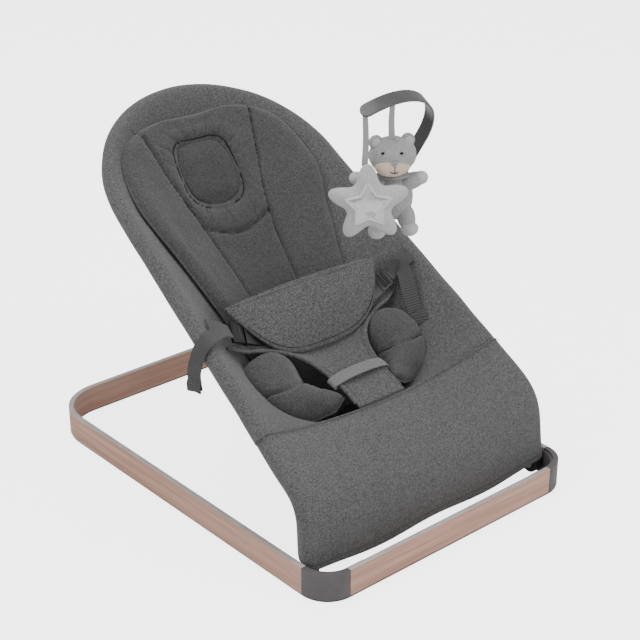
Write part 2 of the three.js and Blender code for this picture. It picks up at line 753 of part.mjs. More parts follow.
// Webbing from the seat edge to the ladder.
function sideStrap() {
  const ladderEnd = new THREE.Vector3(ladderLength + 2, 0, 0).applyMatrix4(buckleFrame);
  const rail = inclinePoint(strapShare);
  const railEnd = new THREE.Vector3(rail.x - slingEdge - 1, rail.y, rail.z).addScaledVector(seatNormal, 8);
  const middle = ladderEnd.clone().lerp(railEnd, 0.5).addScaledVector(seatNormal, 2);
  return strap([ladderEnd, middle, railEnd], railDirection, webbingWidth, webbingThickness, 4);
}

function buildHarness() {
  place("harness_panel", harnessPanel(), melange);
  const half = panelThickness / 2;
  place("harness_flap", layer(flapSurface, () => -half, () => half, 12, 6), melange);
  const keeper = place("crotch_keeper", keeperLoop(), keeperCloth);
  keeper.position.copy(at(0, 176, 161.5));
  keeper.rotation.x = THREE.MathUtils.degToRad(14);
  buildBuckles();
  placeBothSides("side_strap", sideStrap(), webbing);
  // The left tail goes over the tube, so its points lie round the tube.
  const tube = inclinePoint(strapShare);
  const reach = sleeveOuter + tailGap;
  const overTube = (side, depth, rise) =>
    new THREE.Vector3(-tube.x - reach * side, tube.y + depth, tube.z + rise);
  const leftTail = [
    overTube(-1.05, -4, 9), overTube(-0.45, -5, 16), overTube(0.35, -8, 15),
    overTube(0.9, -13, 3), overTube(1, -18, -19), overTube(1, -23, -53),
  ];
  const leftTailAcross = new THREE.Vector3(0.1, 0.9, 0.45);
  place("strap_tail_left", strap(leftTail, leftTailAcross, webbingWidth, webbingThickness, 10), webbing);
  const rightTail = [at(147, 256, 254), at(149, 247, 244), at(151, 239, 232), at(152, 231, 218)];
  const rightTailAcross = new THREE.Vector3(0.8, -0.3, 0.3);
  place("strap_tail_right", strap(rightTail, rightTailAcross, webbingWidth, webbingThickness, 6), webbing);
}

// ---------------------------------------------------------------- toy bar

// Frame of the bar: X across the seat, Y away from the seat, Z down along the tube.
const clipPoint = inclinePoint(toyBarShare);
const inclineForward = new THREE.Vector3(0, -Math.cos(inclineAngle), -Math.sin(inclineAngle));
const barFrame = new THREE.Matrix4()
  .makeBasis(new THREE.Vector3(1, 0, 0), seatNormal, inclineForward)
  .setPosition(clipPoint);
const archCentreX = -toyBarRadius;
const slotFoot = bossHeight - 8;

// The middle line of the arch at x, in the frame of the bar.
function archHeight(x) {
  const run = x - clipPoint.x - archCentreX;
  return toyBarStraight + Math.sqrt(toyBarRadius ** 2 - run ** 2);
}

const barPointAt = (x) => new THREE.Vector3(x - clipPoint.x, archHeight(x), 0).applyMatrix4(barFrame);

function extrudeAcrossBar(shape, width) {
  return new THREE.ExtrudeGeometry(shape, { depth: width, bevelEnabled: false, curveSegments: 20 })
    .translate(0, 0, -width / 2);
}

function toyBarStrip() {
  const half = toyBarThickness / 2;
  const shape = new THREE.Shape();
  shape.moveTo(half, slotFoot);
  shape.lineTo(half, toyBarStraight);
  shape.absarc(archCentreX, toyBarStraight, toyBarRadius + half, 0, toyBarSweep, false);
  shape.absarc(archCentreX, toyBarStraight, toyBarRadius - half, toyBarSweep, 0, true);
  shape.lineTo(-half, slotFoot);
  return cut(extrudeAcrossBar(shape, toyBarWidth), rivetBore());
}

const rivetHeight = bossHeight - 4;
const rivetRadius = 1.6;
const rivetBore = () => barAlongX(rivetRadius + fitGap / 2, -20, 20, rivetHeight, 0, 12);

function toyBarClip() {
  const toeIn = ((riserX - shoulderHalfWidth) / inclineLength) * (clipLength / 2);
  const inner = sleeveOuter + fitGap + toeIn;
  const outer = inner + clipWall;
  const from = THREE.MathUtils.degToRad(-70);
  const to = THREE.MathUtils.degToRad(140);
  const ring = new THREE.Shape();
  ring.absarc(0, 0, outer, from, to, false);
  ring.absarc(0, 0, inner, to, from, true);
  const bossWidth = 5;
  const boss = box(-bossWidth, bossWidth, inner + 1, bossHeight, -clipLength / 2, clipLength / 2);
  const slotHalf = toyBarThickness / 2 + fitGap;
  const slotReach = toyBarWidth / 2 + fitGap;
  const slot = box(-slotHalf, slotHalf, slotFoot - fitGap, bossHeight + 1, -slotReach, slotReach);
  return cut(join(extrudeAcrossBar(ring, clipLength), boss), slot, rivetBore());
}

function toyBarRivet() {
  const bossWidth = 5;
  const shank = barAlongX(rivetRadius, -bossWidth - 1, bossWidth + 1, rivetHeight, 0, 12);
  const head = (x0, x1) => barAlongX(rivetRadius * 1.8, x0, x1, rivetHeight, 0, 12);
  return join(shank, head(-bossWidth - 1.5, -bossWidth - fitGap), head(bossWidth + fitGap, bossWidth + 1.5));
}

function ribbon(x, drop) {
  const start = barPointAt(x);
  const slope = Math.abs(x - clipPoint.x - archCentreX) / toyBarRadius;
  const topGap = toyBarThickness + 3 * fitGap + slope * ribbonWidth;
  const top = start.clone().setZ(start.z - topGap);
  const foot = start.clone().setZ(start.z - drop);
  const across = new THREE.Vector3(1, 0, 0);
  return strap([top, top.clone().lerp(foot, 0.5), foot], across, ribbonWidth, ribbonThickness, 4);
}

function starShape(reach) {
  const points = 5;
  const shape = new THREE.Shape();
  for (let k = 0; k < 2 * points; k++) {
    const angle = Math.PI / 2 + (k * Math.PI) / points;
    const radius = k % 2 ? reach * 0.56 : reach;
    const corner = [radius * Math.cos(angle), radius * Math.sin(angle)];
    if (k) shape.lineTo(...corner);
    else shape.moveTo(...corner);
  }
  return shape;
}

// A plate in the XZ plane that faces -Y, thickness from y0 to y1.
const facingPlate = (shape, y0, y1) =>
  new THREE.ExtrudeGeometry(shape, { depth: y1 - y0, bevelEnabled: false })
    .rotateX(Math.PI / 2).translate(0, y1, 0);

function starPlush() {
  const half = starThickness / 2;
  return facingPlate(starShape(starReach), -half, half);
}

function bearPlush() {
  const head = ball(28, 24, 25, 0, 0, -27);
  const muzzle = ball(19, 13, 13, 0, -17, -37);
  const ear = (side) => ball(10, 6, 10, side * 19, 2, -9);
  const trunk = ball(24, 18, 32, 0, 4, -76);
  const arm = (side) => ball(17, 10, 10, side * 27, 0, -66);
  const leg = (side) => ball(12, 13, 21, side * 14, -2, -108);
  return join(head, muzzle, ear(-1), ear(1), trunk, arm(-1), arm(1), leg(-1), leg(1));
}

function buildToyBar() {
  const inFrame = (geometry) => geometry.applyMatrix4(barFrame);
  place("toy_bar", inFrame(toyBarStrip()), barPlastic);
  place("toy_bar_clip", inFrame(toyBarClip()), darkPlastic);
  place("toy_bar_rivet", inFrame(toyBarRivet()), steel);

  const starPoint = barPointAt(starX);
  place("star_ribbon", ribbon(starX, starDrop - starReach - 1), ribbonCloth);
  const star = new THREE.Group();
  star.position.set(starPoint.x, starPoint.y - starForward, starPoint.z - starDrop);
  star.rotation.z = starTurn;
  bouncer.add(star);
  place("star_plush", starPlush(), plush, star);
  const face = -starThickness / 2 - fitGap;
  place("star_mirror", facingPlate(starShape(starReach * 0.55), face - 1, face), mirrorFoil, star);

  const bearPoint = barPointAt(bearX);
  place("bear_ribbon", ribbon(bearX, bearDrop), ribbonCloth);
  const bear = new THREE.Group();
  bear.position.set(bearPoint.x, bearPoint.y + bearBack, bearPoint.z - bearDrop);
  bear.rotation.z = bearTurn;
  bouncer.add(bear);
  place("bear_plush", bearPlush(), plush, bear);
}

buildBase();
buildSeatFrame();
buildCover();
buildInsert();
buildHarness();
buildToyBar();

export default bouncer;
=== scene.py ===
# %% [markdown]
# # A baby bouncer seat, dressed piece by piece
#
# The hard frame of this seat comes ready made: bands, tubes, hinges and the places of all soft
# parts. What is left is what the eye judges first: cloth stretched over a bent tube, a quilted
# insert, a harness with buckles and two small toys. Each step below says what the real piece
# is, how it could be made in Blender and why one way was picked.
#
# Everything is in metres, in one shared frame: +X to the right of someone in front of the seat,
# +Y towards the head end and +Z up. Sizes in the text are in millimetres, as a maker says them.

# %% Load the frame and keep its box
import json
import math

import bpy
from mathutils import Matrix, Vector, noise

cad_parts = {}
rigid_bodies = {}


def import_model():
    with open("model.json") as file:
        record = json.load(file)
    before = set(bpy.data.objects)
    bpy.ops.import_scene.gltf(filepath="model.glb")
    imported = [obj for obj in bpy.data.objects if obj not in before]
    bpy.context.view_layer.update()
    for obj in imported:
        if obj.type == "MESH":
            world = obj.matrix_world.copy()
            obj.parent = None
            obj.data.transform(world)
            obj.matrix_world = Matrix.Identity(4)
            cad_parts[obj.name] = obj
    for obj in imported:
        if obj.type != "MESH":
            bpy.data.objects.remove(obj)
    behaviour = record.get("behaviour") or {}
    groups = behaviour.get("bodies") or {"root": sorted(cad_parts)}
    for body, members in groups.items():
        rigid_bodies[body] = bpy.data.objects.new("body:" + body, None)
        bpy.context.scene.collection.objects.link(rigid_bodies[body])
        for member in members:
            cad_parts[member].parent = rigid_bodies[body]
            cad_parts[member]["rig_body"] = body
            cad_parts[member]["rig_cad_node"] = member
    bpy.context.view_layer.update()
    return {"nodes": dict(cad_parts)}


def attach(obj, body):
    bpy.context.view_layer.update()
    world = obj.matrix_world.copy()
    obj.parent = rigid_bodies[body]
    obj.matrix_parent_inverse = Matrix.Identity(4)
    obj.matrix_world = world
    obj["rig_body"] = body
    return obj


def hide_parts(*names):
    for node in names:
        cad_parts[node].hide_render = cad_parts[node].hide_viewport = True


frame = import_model()
scene = bpy.context.scene

# %% [markdown]
# ## Camera, light and floor
#
# The seat is seen from its front left and a little above, the way a parent looks at it. A long
# lens keeps the far hoop from looking small. The light is that of a product table: one broad
# panel overhead, one from the front right and a bright, even surround, so that dark cloth still
# shows its folds and nothing has a hard shadow.

# %% Camera at the front left
VIEW_AZIMUTH = math.radians(-41.02)
VIEW_ELEVATION = math.radians(25.53)
CAMERA_PLACE = (-1.1645, -1.3759, 1.0572)

back = Vector(
    (
        math.sin(VIEW_AZIMUTH) * math.cos(VIEW_ELEVATION),
        -math.cos(VIEW_AZIMUTH) * math.cos(VIEW_ELEVATION),
        math.sin(VIEW_ELEVATION),
    )
)
bpy.ops.object.select_all(action="DESELECT")
bpy.ops.object.camera_add(location=CAMERA_PLACE)
camera = bpy.context.object
camera.rotation_mode = "QUATERNION"
camera.rotation_quaternion = (-back).to_track_quat("-Z", "Y")
camera.data.sensor_width = 36
camera.data.lens = 87.73
scene.camera = camera
print("camera looks along", [round(x, 3) for x in -back])


# %% Soft light from panels and surround
def light_panel(name, place, target, size, watts):
    bpy.ops.object.light_add(type="AREA", location=place)
    panel = bpy.context.object
    panel.name = name
    panel.data.shape = "DISK"
    panel.data.size = size
    panel.data.energy = watts
    panel.rotation_mode = "QUATERNION"
    panel.rotation_quaternion = (Vector(target) - Vector(place)).to_track_quat("-Z", "Y")
    return panel


light_panel("overhead_panel", (-0.3, 0.3, 2.4), (0, 0, 0.2), 1.8, 25)
light_panel("front_panel", (0.9, -2.2, 1.3), (0, 0, 0.2), 1.5, 18)
light_panel("left_panel", (-2.2, -0.2, 1.2), (0, 0, 0.3), 1.2, 8)

world = bpy.data.worlds.new("studio_surround")
world.use_nodes = True
world.node_tree.nodes["Background"].inputs["Color"].default_value = (1.0, 1.0, 1.0, 1)
world.node_tree.nodes["Background"].inputs["Strength"].default_value = 0.52
scene.world = world


def seen_brighter(tree, shader, socket, base, extra):
    """Adds brightness that only the camera sees, so the surround is white and lights nothing."""
    path = tree.nodes.new("ShaderNodeLightPath")
    gain = tree.nodes.new("ShaderNodeMath")
    gain.operation = "MULTIPLY_ADD"
    gain.inputs[1].default_value = extra
    gain.inputs[2].default_value = base
    tree.links.new(path.outputs["Is Camera Ray"], gain.inputs[0])
    tree.links.new(gain.outputs["Value"], shader.inputs[socket])


seen_brighter(world.node_tree, world.node_tree.nodes["Background"], "Strength", 0.52, 3.4)

# %% Pale floor
bpy.ops.object.select_all(action="DESELECT")
bpy.ops.mesh.primitive_plane_add(size=9, location=(0, 0, -0.0003))
floor = bpy.context.object
floor.name = "studio_floor"
floor_paint = bpy.data.materials.new("floor_paint")
floor_paint.use_nodes = True
floor_shader = floor_paint.node_tree.nodes["Principled BSDF"]
floor_shader.inputs["Base Color"].default_value = (0.93, 0.93, 0.93, 1)
floor_shader.inputs["Roughness"].default_value = 0.75
floor_shader.inputs["Emission Color"].default_value = (1.0, 1.0, 1.0, 1)
seen_brighter(floor_paint.node_tree, floor_shader, "Emission Strength", 0.0, 3.4)
floor.data.materials.append(floor_paint)

# %% [markdown]
# ## Finishes
#
# Every finish is mixed from noise and waves, so that it stays sharp at any distance. A few small
# helpers keep the node work readable: one adds a node, one joins a pattern to a colour ramp and
# one to a bump. Cloth reads Object coordinates where its grain has no direction, and the piece's
# own UV map, laid out in metres, where its ribs run along the piece.


# %% Helpers for finishes
def new_finish(name, roughness, metallic=0.0, sheen=0.0, specular=0.5):
    finish = bpy.data.materials.new(name)
    finish.use_nodes = True
    shader = finish.node_tree.nodes["Principled BSDF"]
    shader.inputs["Roughness"].default_value = roughness
    shader.inputs["Metallic"].default_value = metallic
    shader.inputs["Specular IOR Level"].default_value = specular
    if sheen:
        shader.inputs["Sheen Weight"].default_value = sheen
        shader.inputs["Sheen Roughness"].default_value = 0.5
    return finish


def add_node(finish, kind, **settings):
    node = finish.node_tree.nodes.new(kind)
    for key, value in settings.items():
        if key in node.inputs:
            node.inputs[key].default_value = value
        else:
            setattr(node, key, value)
    return node


def link(finish, source, target):
    finish.node_tree.links.new(source, target)


def coordinates(finish, stretch=(1, 1, 1), kind="Object"):
    """Object or UV coordinates, stretched: a big factor makes the pattern fine that way."""
    place = add_node(finish, "ShaderNodeTexCoord")
    mapping = add_node(finish, "ShaderNodeMapping")
    mapping.inputs["Scale"].default_value = stretch
    link(finish, place.outputs[kind], mapping.inputs["Vector"])
    return mapping.outputs["Vector"]


def noise_pattern(finish, vector, scale, detail=2.0, roughness=0.5):
    pattern = add_node(finish, "ShaderNodeTexNoise", Scale=scale, Detail=detail, Roughness=roughness)
    link(finish, vector, pattern.inputs["Vector"])
    return pattern.outputs["Fac"]


def wave_pattern(finish, vector, scale, direction, distortion=0.0):
    pattern = add_node(finish, "ShaderNodeTexWave", Scale=scale, Distortion=distortion)
    pattern.bands_direction = direction
    link(finish, vector, pattern.inputs["Vector"])
    return pattern.outputs["Fac"]


def ramp(finish, factor, *stops):
    """A colour ramp; each stop is (place, grey) or (place, (r, g, b))."""
    node = add_node(finish, "ShaderNodeValToRGB")
    elements = node.color_ramp.elements
    while len(elements) < len(stops):
        elements.new(0.5)
    for element, (place, colour) in zip(elements, stops):
        element.position = place
        rgb = (colour, colour, colour) if isinstance(colour, (int, float)) else colour
        element.color = (*rgb, 1)
    link(finish, factor, node.inputs["Fac"])
    return node.outputs["Color"]


def mix_colours(finish, factor, first, second, blend="MIX"):
    node = add_node(finish, "ShaderNodeMix", data_type="RGBA", blend_type=blend)
    if isinstance(factor, float):
        node.inputs["Factor"].default_value = factor
    else:
        link(finish, factor, node.inputs["Factor"])
    link(finish, first, node.inputs["A"])
    link(finish, second, node.inputs["B"])
    return node.outputs["Result"]


def add_up(finish, first, second, share=0.5):
    """A sum of two patterns, for a bump: first + share x second."""
    node = add_node(finish, "ShaderNodeMath", operation="MULTIPLY_ADD")
    link(finish, second, node.inputs[0])
    node.inputs[1].default_value = share
    link(finish, first, node.inputs[2])
    return node.outputs["Value"]


def paint(finish, colour):
    link(finish, colour, finish.node_tree.nodes["Principled BSDF"].inputs["Base Color"])


def emboss(finish, height, distance, strength=1.0):
    bump = add_node(finish, "ShaderNodeBump", Distance=distance, Strength=strength)
    link(finish, height, bump.inputs["Height"])
    link(finish, bump.outputs["Normal"], finish.node_tree.nodes["Principled BSDF"].inputs["Normal"])


# %% [markdown]
# ### Heather cloth
#
# The cover is knitted from yarns of two greys, which the eye reads as a speckle one to two
# millimetres across. Two sizes of noise give it: a fine one for single stitches, a coarser one
# for the way the yarns bunch. Very broad noise shifts the tone by a few per cent, as wear and
# washing do. The insert is the same idea in a finer, softer knit, so one recipe makes both.


# %% Heather cloth
def heather(name, dark, light, speckle, bunch, depth, sheen):
    finish = new_finish(name, 0.93, sheen=sheen, specular=0.2)
    vector = coordinates(finish)
    stitches = noise_pattern(finish, vector, speckle, detail=2.5, roughness=0.65)
    bunches = noise_pattern(finish, vector, bunch, detail=1.0)
    broad = noise_pattern(finish, vector, 9.0, detail=2.0)
    yarn = ramp(finish, stitches, (0.34, dark), (0.66, light))
    clump = ramp(finish, bunches, (0.32, dark), (0.68, light))
    cloth = mix_colours(finish, 0.38, yarn, clump)
    tone = ramp(finish, broad, (0.3, 0.92), (0.7, 1.0))
    paint(finish, mix_colours(finish, 1.0, cloth, tone, "MULTIPLY"))
    emboss(finish, add_up(finish, stitches, bunches), depth)
    return finish


cover_cloth = heather("cover_cloth", 0.045, 0.225, 900.0, 420.0, 0.0008, 0.25)
flap_cloth = heather("flap_cloth", 0.028, 0.225, 760.0, 420.0, 0.0010, 0.2)
insert_cloth = heather("insert_cloth", 0.036, 0.148, 950.0, 420.0, 0.0006, 0.3)
pillow_cloth = heather("pillow_cloth", 0.03, 0.128, 950.0, 420.0, 0.0006, 0.25)
keeper_cloth = heather("keeper_cloth", 0.15, 0.29, 1300.0, 500.0, 0.0003, 0.3)

# %% [markdown]
# ### Webbing and ribbon
#
# Webbing is woven with ribs straight across it. The pieces made from it carry a UV map in
# metres, so one wave along the strap is one rib, at the same pitch on every strap. The toys'
# ribbons are paler, smoother and ribbed more finely.


# %% Webbing and ribbon
def ribbed(name, low, high, pitch, depth, sheen=0.2):
    """Ribs across the strap, pitch in metres."""
    finish = new_finish(name, 0.82, sheen=sheen, specular=0.25)
    vector = coordinates(finish, kind="UV")
    ribs = wave_pattern(finish, vector, math.pi / 10 / pitch, "Y")
    threads = noise_pattern(finish, coordinates(finish), 1500.0, detail=2.0)
    body = ramp(finish, ribs, (0.1, low), (0.75, high))
    speck = ramp(finish, threads, (0.3, 0.8), (0.7, 1.0))
    paint(finish, mix_colours(finish, 1.0, body, speck, "MULTIPLY"))
    emboss(finish, add_up(finish, ribs, threads, 0.3), depth)
    return finish


webbing_cloth = ribbed("webbing_cloth", 0.065, 0.115, 0.0023, 0.0005)
ribbon_cloth = ribbed("ribbon_cloth", 0.42, 0.56, 0.0011, 0.0002)
thread = heather("sewing_thread", 0.05, 0.075, 2400.0, 900.0, 0.0001, 0.1)
# Near-black cords: painted shade in the seam valleys, and also the bear's real eyes and mouth.
seam_shade_and_dark_thread = heather("seam_shadow_thread", 0.016, 0.03, 2400.0, 900.0, 0.0001, 0.05)

# %% [markdown]
# ### Wood-grain band
#
# The base is a bent band with a printed wood grain that runs along it. All of its long sides
# follow X or Y, and the grain lies level everywhere, so noise squeezed in Z and drawn out in X
# and Y gives streaks that also carry round the corners. Broad streaks give the pink-brown
# bands, fine ones the pores. The top edge is paler, partly as the band's bare edge and partly as painted
# light from above: it has a finish of its own.


# %% Wood-grain band
def wood_grain(name, dark, middle, light):
    finish = new_finish(name, 0.5, specular=0.35)
    broad = noise_pattern(finish, coordinates(finish, (2.2, 2.2, 70)), 1.6, 3.0, 0.6)
    pores = noise_pattern(finish, coordinates(finish, (7, 7, 900)), 1.0, 4.0, 0.7)
    figure = ramp(finish, broad, (0.25, dark), (0.5, middle), (0.75, light))
    streak = ramp(finish, pores, (0.35, 0.72), (0.6, 1.0))
    paint(finish, mix_colours(finish, 1.0, figure, streak, "MULTIPLY"))
    emboss(finish, pores, 0.00015)
    return finish


band_wood = wood_grain("band_wood", (0.56, 0.3, 0.215), (0.72, 0.43, 0.325), (0.86, 0.57, 0.45))
# The band's top: a pale bare edge, made paler still by painted light falling from above.
band_edge_and_top_light = new_finish("band_edge_and_top_light", 0.42, specular=0.4)
edge_noise = noise_pattern(band_edge_and_top_light, coordinates(band_edge_and_top_light, (14, 14, 14)), 3.0, 3.0)
paint(band_edge_and_top_light, ramp(band_edge_and_top_light, edge_noise, (0.3, (0.5, 0.465, 0.44)), (0.7, (0.62, 0.59, 0.57))))


# %% [markdown]
# ### Plastic, dark base strips, steel, mirror and plush
#
# Moulded plastic is never quite flat: a very fine grain breaks up its shine and its tone drifts
# a little. Brushed steel has its scratches drawn out along one way. Plush is a dense pile, so it
# gets a strong sheen and a bump of short tufts at two sizes.


# %% Plastic, dark base strips and steel
def moulded(name, dark, light, roughness, grain=0.00006, scale=1600.0):
    finish = new_finish(name, roughness, specular=0.45)
    vector = coordinates(finish)
    fine = noise_pattern(finish, vector, scale, 2.0)
    drift = noise_pattern(finish, vector, 30.0, 2.0)
    paint(finish, ramp(finish, drift, (0.3, dark), (0.7, light)))
    emboss(finish, fine, grain)
    return finish


connector_plastic = moulded("connector_plastic", (0.118, 0.108, 0.112), (0.15, 0.138, 0.142), 0.42)
buckle_plastic = moulded("buckle_plastic", 0.02, 0.03, 0.34)
bar_plastic = moulded("bar_plastic", 0.1, 0.13, 0.24)
# Near-black finish of the strips under the bands: it draws a dark line along the base's bottom edge.
dark_base_strip = moulded("dark_base_strip", 0.016, 0.026, 0.85, 0.0002, 700.0)

frame_steel = new_finish("frame_steel", 0.34, metallic=1.0)
scratches = noise_pattern(frame_steel, coordinates(frame_steel, (60, 9, 60)), 30.0, 3.0)
paint(frame_steel, ramp(frame_steel, scratches, (0.3, 0.32), (0.7, 0.46)))
emboss(frame_steel, scratches, 0.00004)


# %% Plush and mirror
def plush_pile(name, dark, light, scale=620.0, depth=0.0011):
    finish = new_finish(name, 0.96, sheen=0.55, specular=0.15)
    vector = coordinates(finish)
    tufts = noise_pattern(finish, vector, scale, 3.0, 0.65)
    tips = noise_pattern(finish, vector, scale * 2.6, 2.0)
    paint(finish, ramp(finish, tufts, (0.33, dark), (0.67, light)))
    emboss(finish, add_up(finish, tufts, tips), depth)
    return finish


grey_plush = plush_pile("grey_plush", 0.36, 0.6)
pale_plush = plush_pile("pale_plush", 0.56, 0.82)
# Darker grey plush: the bear's nose, and a disc at the neck that is painted shade below the head.
nose_and_neck_shade_plush = plush_pile("nose_and_neck_shade_plush", 0.3, 0.47)
muzzle_plush = plush_pile("muzzle_plush", (0.74, 0.56, 0.45), (0.95, 0.77, 0.65), 900.0, 0.0005)
white_satin = heather("white_satin", 0.8, 0.95, 1500.0, 500.0, 0.0002, 0.3)
mirror_foil = new_finish("mirror_foil", 0.16, metallic=1.0)
dents = noise_pattern(mirror_foil, coordinates(mirror_foil), 55.0, 2.0)
paint(mirror_foil, ramp(mirror_foil, dents, (0.3, 0.72), (0.7, 0.86)))
emboss(mirror_foil, dents, 0.002)
print("finishes:", len(bpy.data.materials))
# %% [markdown]
# ## Hard parts: finished copies of the frame
#
# The frame's solids already have the right shape, but every edge on them is knife sharp, and
# nothing moulded, sawn or turned looks like that. Adding a Bevel modifier to a solid as it came
# would do nothing, because its triangles aren't joined to each other. So each visible hard part
# is copied, its doubles are merged, flat triangles are melted into whole faces, and only then
# are the edges rounded. The copy stands for the solid and rides on the same body.

# %% Helpers: select, name, apply
MM = 0.001


def only(piece):
    bpy.ops.object.select_all(action="DESELECT")
    piece.select_set(True)
    bpy.context.view_layer.objects.active = piece


def settle(piece):
    """Puts the object's place, turn and size into its mesh, and applies its modifiers."""
    only(piece)
    for modifier in list(piece.modifiers):
        bpy.ops.object.modifier_apply(modifier=modifier.name)
    bpy.ops.object.transform_apply(location=True, rotation=True, scale=True)
    return piece


def smooth_by_angle(piece, degrees=40):
    only(piece)
    bpy.ops.object.shade_smooth_by_angle(angle=math.radians(degrees))


def in_edit(piece, *operators):
    """Runs edit-mode operators on the whole mesh."""
    only(piece)
    bpy.ops.object.mode_set(mode="EDIT")
    bpy.ops.mesh.select_all(action="SELECT")
    for operator, settings in operators:
        operator(**settings)
    bpy.ops.object.mode_set(mode="OBJECT")


def finish_copy(node, bevel, finish, segments=2, angle=30, name=None):
    """A copy of a frame solid with merged faces and rounded edges."""
    piece = frame["nodes"][node].copy()
    piece.data = frame["nodes"][node].data.copy()
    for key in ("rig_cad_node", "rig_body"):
        if key in piece:
            del piece[key]
    piece.parent = None
    piece.name = piece.data.name = name or node + "_finished"
    scene.collection.objects.link(piece)
    in_edit(
        piece,
        (bpy.ops.mesh.remove_doubles, {"threshold": 0.00002}),
        (bpy.ops.mesh.dissolve_limited, {"angle_limit": math.radians(1.0)}),
        (bpy.ops.mesh.customdata_custom_splitnormals_clear, {}),
    )
    if bevel:
        rounding = piece.modifiers.new("rounding", "BEVEL")
        rounding.width = bevel * MM
        rounding.segments = segments
        rounding.limit_method = "ANGLE"
        rounding.angle_limit = math.radians(angle)
        rounding.use_clamp_overlap = True
        settle(piece)
    smooth_by_angle(piece)
    piece.data.materials.clear()
    piece.data.materials.append(finish)
    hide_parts(node)
    body = frame["nodes"][node]["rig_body"]
    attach(piece, body)
    return piece


SIDES = ("right", "left")

# %% [markdown]
# ### The base
#
# Its bands are dressed first. The grain runs on all faces but the top one, where the bare edge
# of the band shows, so the faces that look up take the paler finish: the bare edge, lightened by
# painted light from above. The corner connectors are mouldings: they get a rounder edge than the
# bands, with three segments, because they are the part of the base that comes closest to the eye.

# %% Bands, strips and corner connectors
for node in ("front_bar", "rear_bow"):
    band = finish_copy(node, 0.9, band_wood)
    band.data.materials.append(band_edge_and_top_light)
    # Faces that look up take the paler top finish: bare edge plus painted light from above.
    for face in band.data.polygons:
        if face.normal.z > 0.6:
            face.material_index = 1
    print(node, "faces:", len(band.data.polygons))

# The strips under the bands take the near-black finish, which darkens the base's bottom edge.
for node in ("grip_front", "grip_rear", "grip_corner_right", "grip_corner_left"):
    finish_copy(node, 0.3, dark_base_strip, segments=1)

for side in SIDES:
    finish_copy(f"corner_connector_{side}", 1.1, connector_plastic, segments=3)
    for node in ("front_screw", "side_screw", "pivot_washer", "pivot_pin"):
        finish_copy(f"{node}_{side}", 0.25, frame_steel, segments=1)
    finish_copy(f"lock_hub_{side}", 0.5, buckle_plastic)
    finish_copy(f"tube_foot_{side}", 0.6, buckle_plastic)
    finish_copy(f"side_tube_{side}", 0, frame_steel)
    finish_copy(f"hoop_spigot_{side}", 0, frame_steel)
finish_copy("head_hoop", 0, frame_steel)
print("base and frame pieces finished")

# %% [markdown]
# ## The cover
#
# One cloth is stretched over the bent tube like a hammock: it wraps each side tube, hangs in
# between and closes round the hoop at the head. A flat plate with two pipes beside it would
# leave a visible joint along the whole rim. So the cover is lofted as one sheet. Each row starts
# on the middle line, follows the hanging cloth out to the tube, leaves it on a tangent and
# goes round the tube, as a sewn tunnel does. At the head the rows turn like the ribs of a fan
# and end on the middle line, so there is no pole where the cloth could pinch.

# %% The bent tube that carries the cloth, in millimetres
FRONT = -286.0  # Y of the front face of the base
INCLINE = math.radians(32.4)
INCLINE_LENGTH = 373.5
RISER_X = 190.0
SHOULDER_X = 168.5
KNEE_END = (105.0, 141.0)  # depth behind the front face, and height
RISER_TOP = (54.0, 82.0)
PIVOT = (49.0, 19.0)
KNEE_HANDLE = 34.0
HOOP_RISE = 158.0
HOOP_ANGLE = math.radians(35.5)
EDGE_INSET = 13.0  # from the tube's centre to the edge of the hanging cloth
TUNNEL = 11.5  # radius of the cloth round the tube


def at(x, depth, z):
    return Vector((x, FRONT + depth, z))


def incline_point(share):
    x = RISER_X + (SHOULDER_X - RISER_X) * share
    run = INCLINE_LENGTH * math.cos(INCLINE) * share
    rise = INCLINE_LENGTH * math.sin(INCLINE) * share
    return at(x, KNEE_END[0] + run, KNEE_END[1] + rise)


SHOULDER = incline_point(1.0)
RAIL_DIRECTION = (incline_point(1.0) - incline_point(0.0)).normalized()
SEAT_UP = Vector((0, -math.sin(INCLINE), math.cos(INCLINE)))
HOOP_UP = Vector((0, -math.sin(HOOP_ANGLE), math.cos(HOOP_ANGLE)))


def hoop_point(angle, inset=0.0):
    along = (HOOP_RISE - inset) * math.sin(angle)
    x = (SHOULDER_X - inset) * math.cos(angle)
    return Vector((x, SHOULDER.y + along * math.cos(HOOP_ANGLE), SHOULDER.z + along * math.sin(HOOP_ANGLE)))


def riser_point(height):
    share = (height - PIVOT[1]) / (RISER_TOP[1] - PIVOT[1])
    return at(RISER_X, PIVOT[0] + (RISER_TOP[0] - PIVOT[0]) * share, height)


RISER_DIRECTION = (riser_point(RISER_TOP[1]) - riser_point(PIVOT[1])).normalized()


def knee_point(t):
    ends = [riser_point(RISER_TOP[1]), incline_point(0.0)]
    handles = [ends[0] + RISER_DIRECTION * KNEE_HANDLE, ends[1] - RAIL_DIRECTION * KNEE_HANDLE]
    a, b, c, d = ends[0], handles[0], handles[1], ends[1]
    s = 1 - t
    return a * s**3 + b * (3 * s * s * t) + c * (3 * s * t * t) + d * t**3


def through(points, t):
    """A smooth curve through points, at t from 0 to 1. Works for numbers and vectors."""
    last = len(points) - 1
    place = min(max(t, 0.0), 1.0) * last
    k = min(int(place), last - 1)
    f = place - k
    p1, p2 = points[k], points[k + 1]
    p0 = points[k - 1] if k else p1 * 2 - p2
    p3 = points[k + 2] if k + 2 <= last else p2 * 2 - p1
    m1, m2 = (p2 - p0) * 0.5, (p3 - p1) * 0.5
    f2, f3 = f * f, f * f * f
    return p1 * (2 * f3 - 3 * f2 + 1) + m1 * (f3 - 2 * f2 + f) + p2 * (3 * f2 - 2 * f3) + m2 * (f3 - f2)


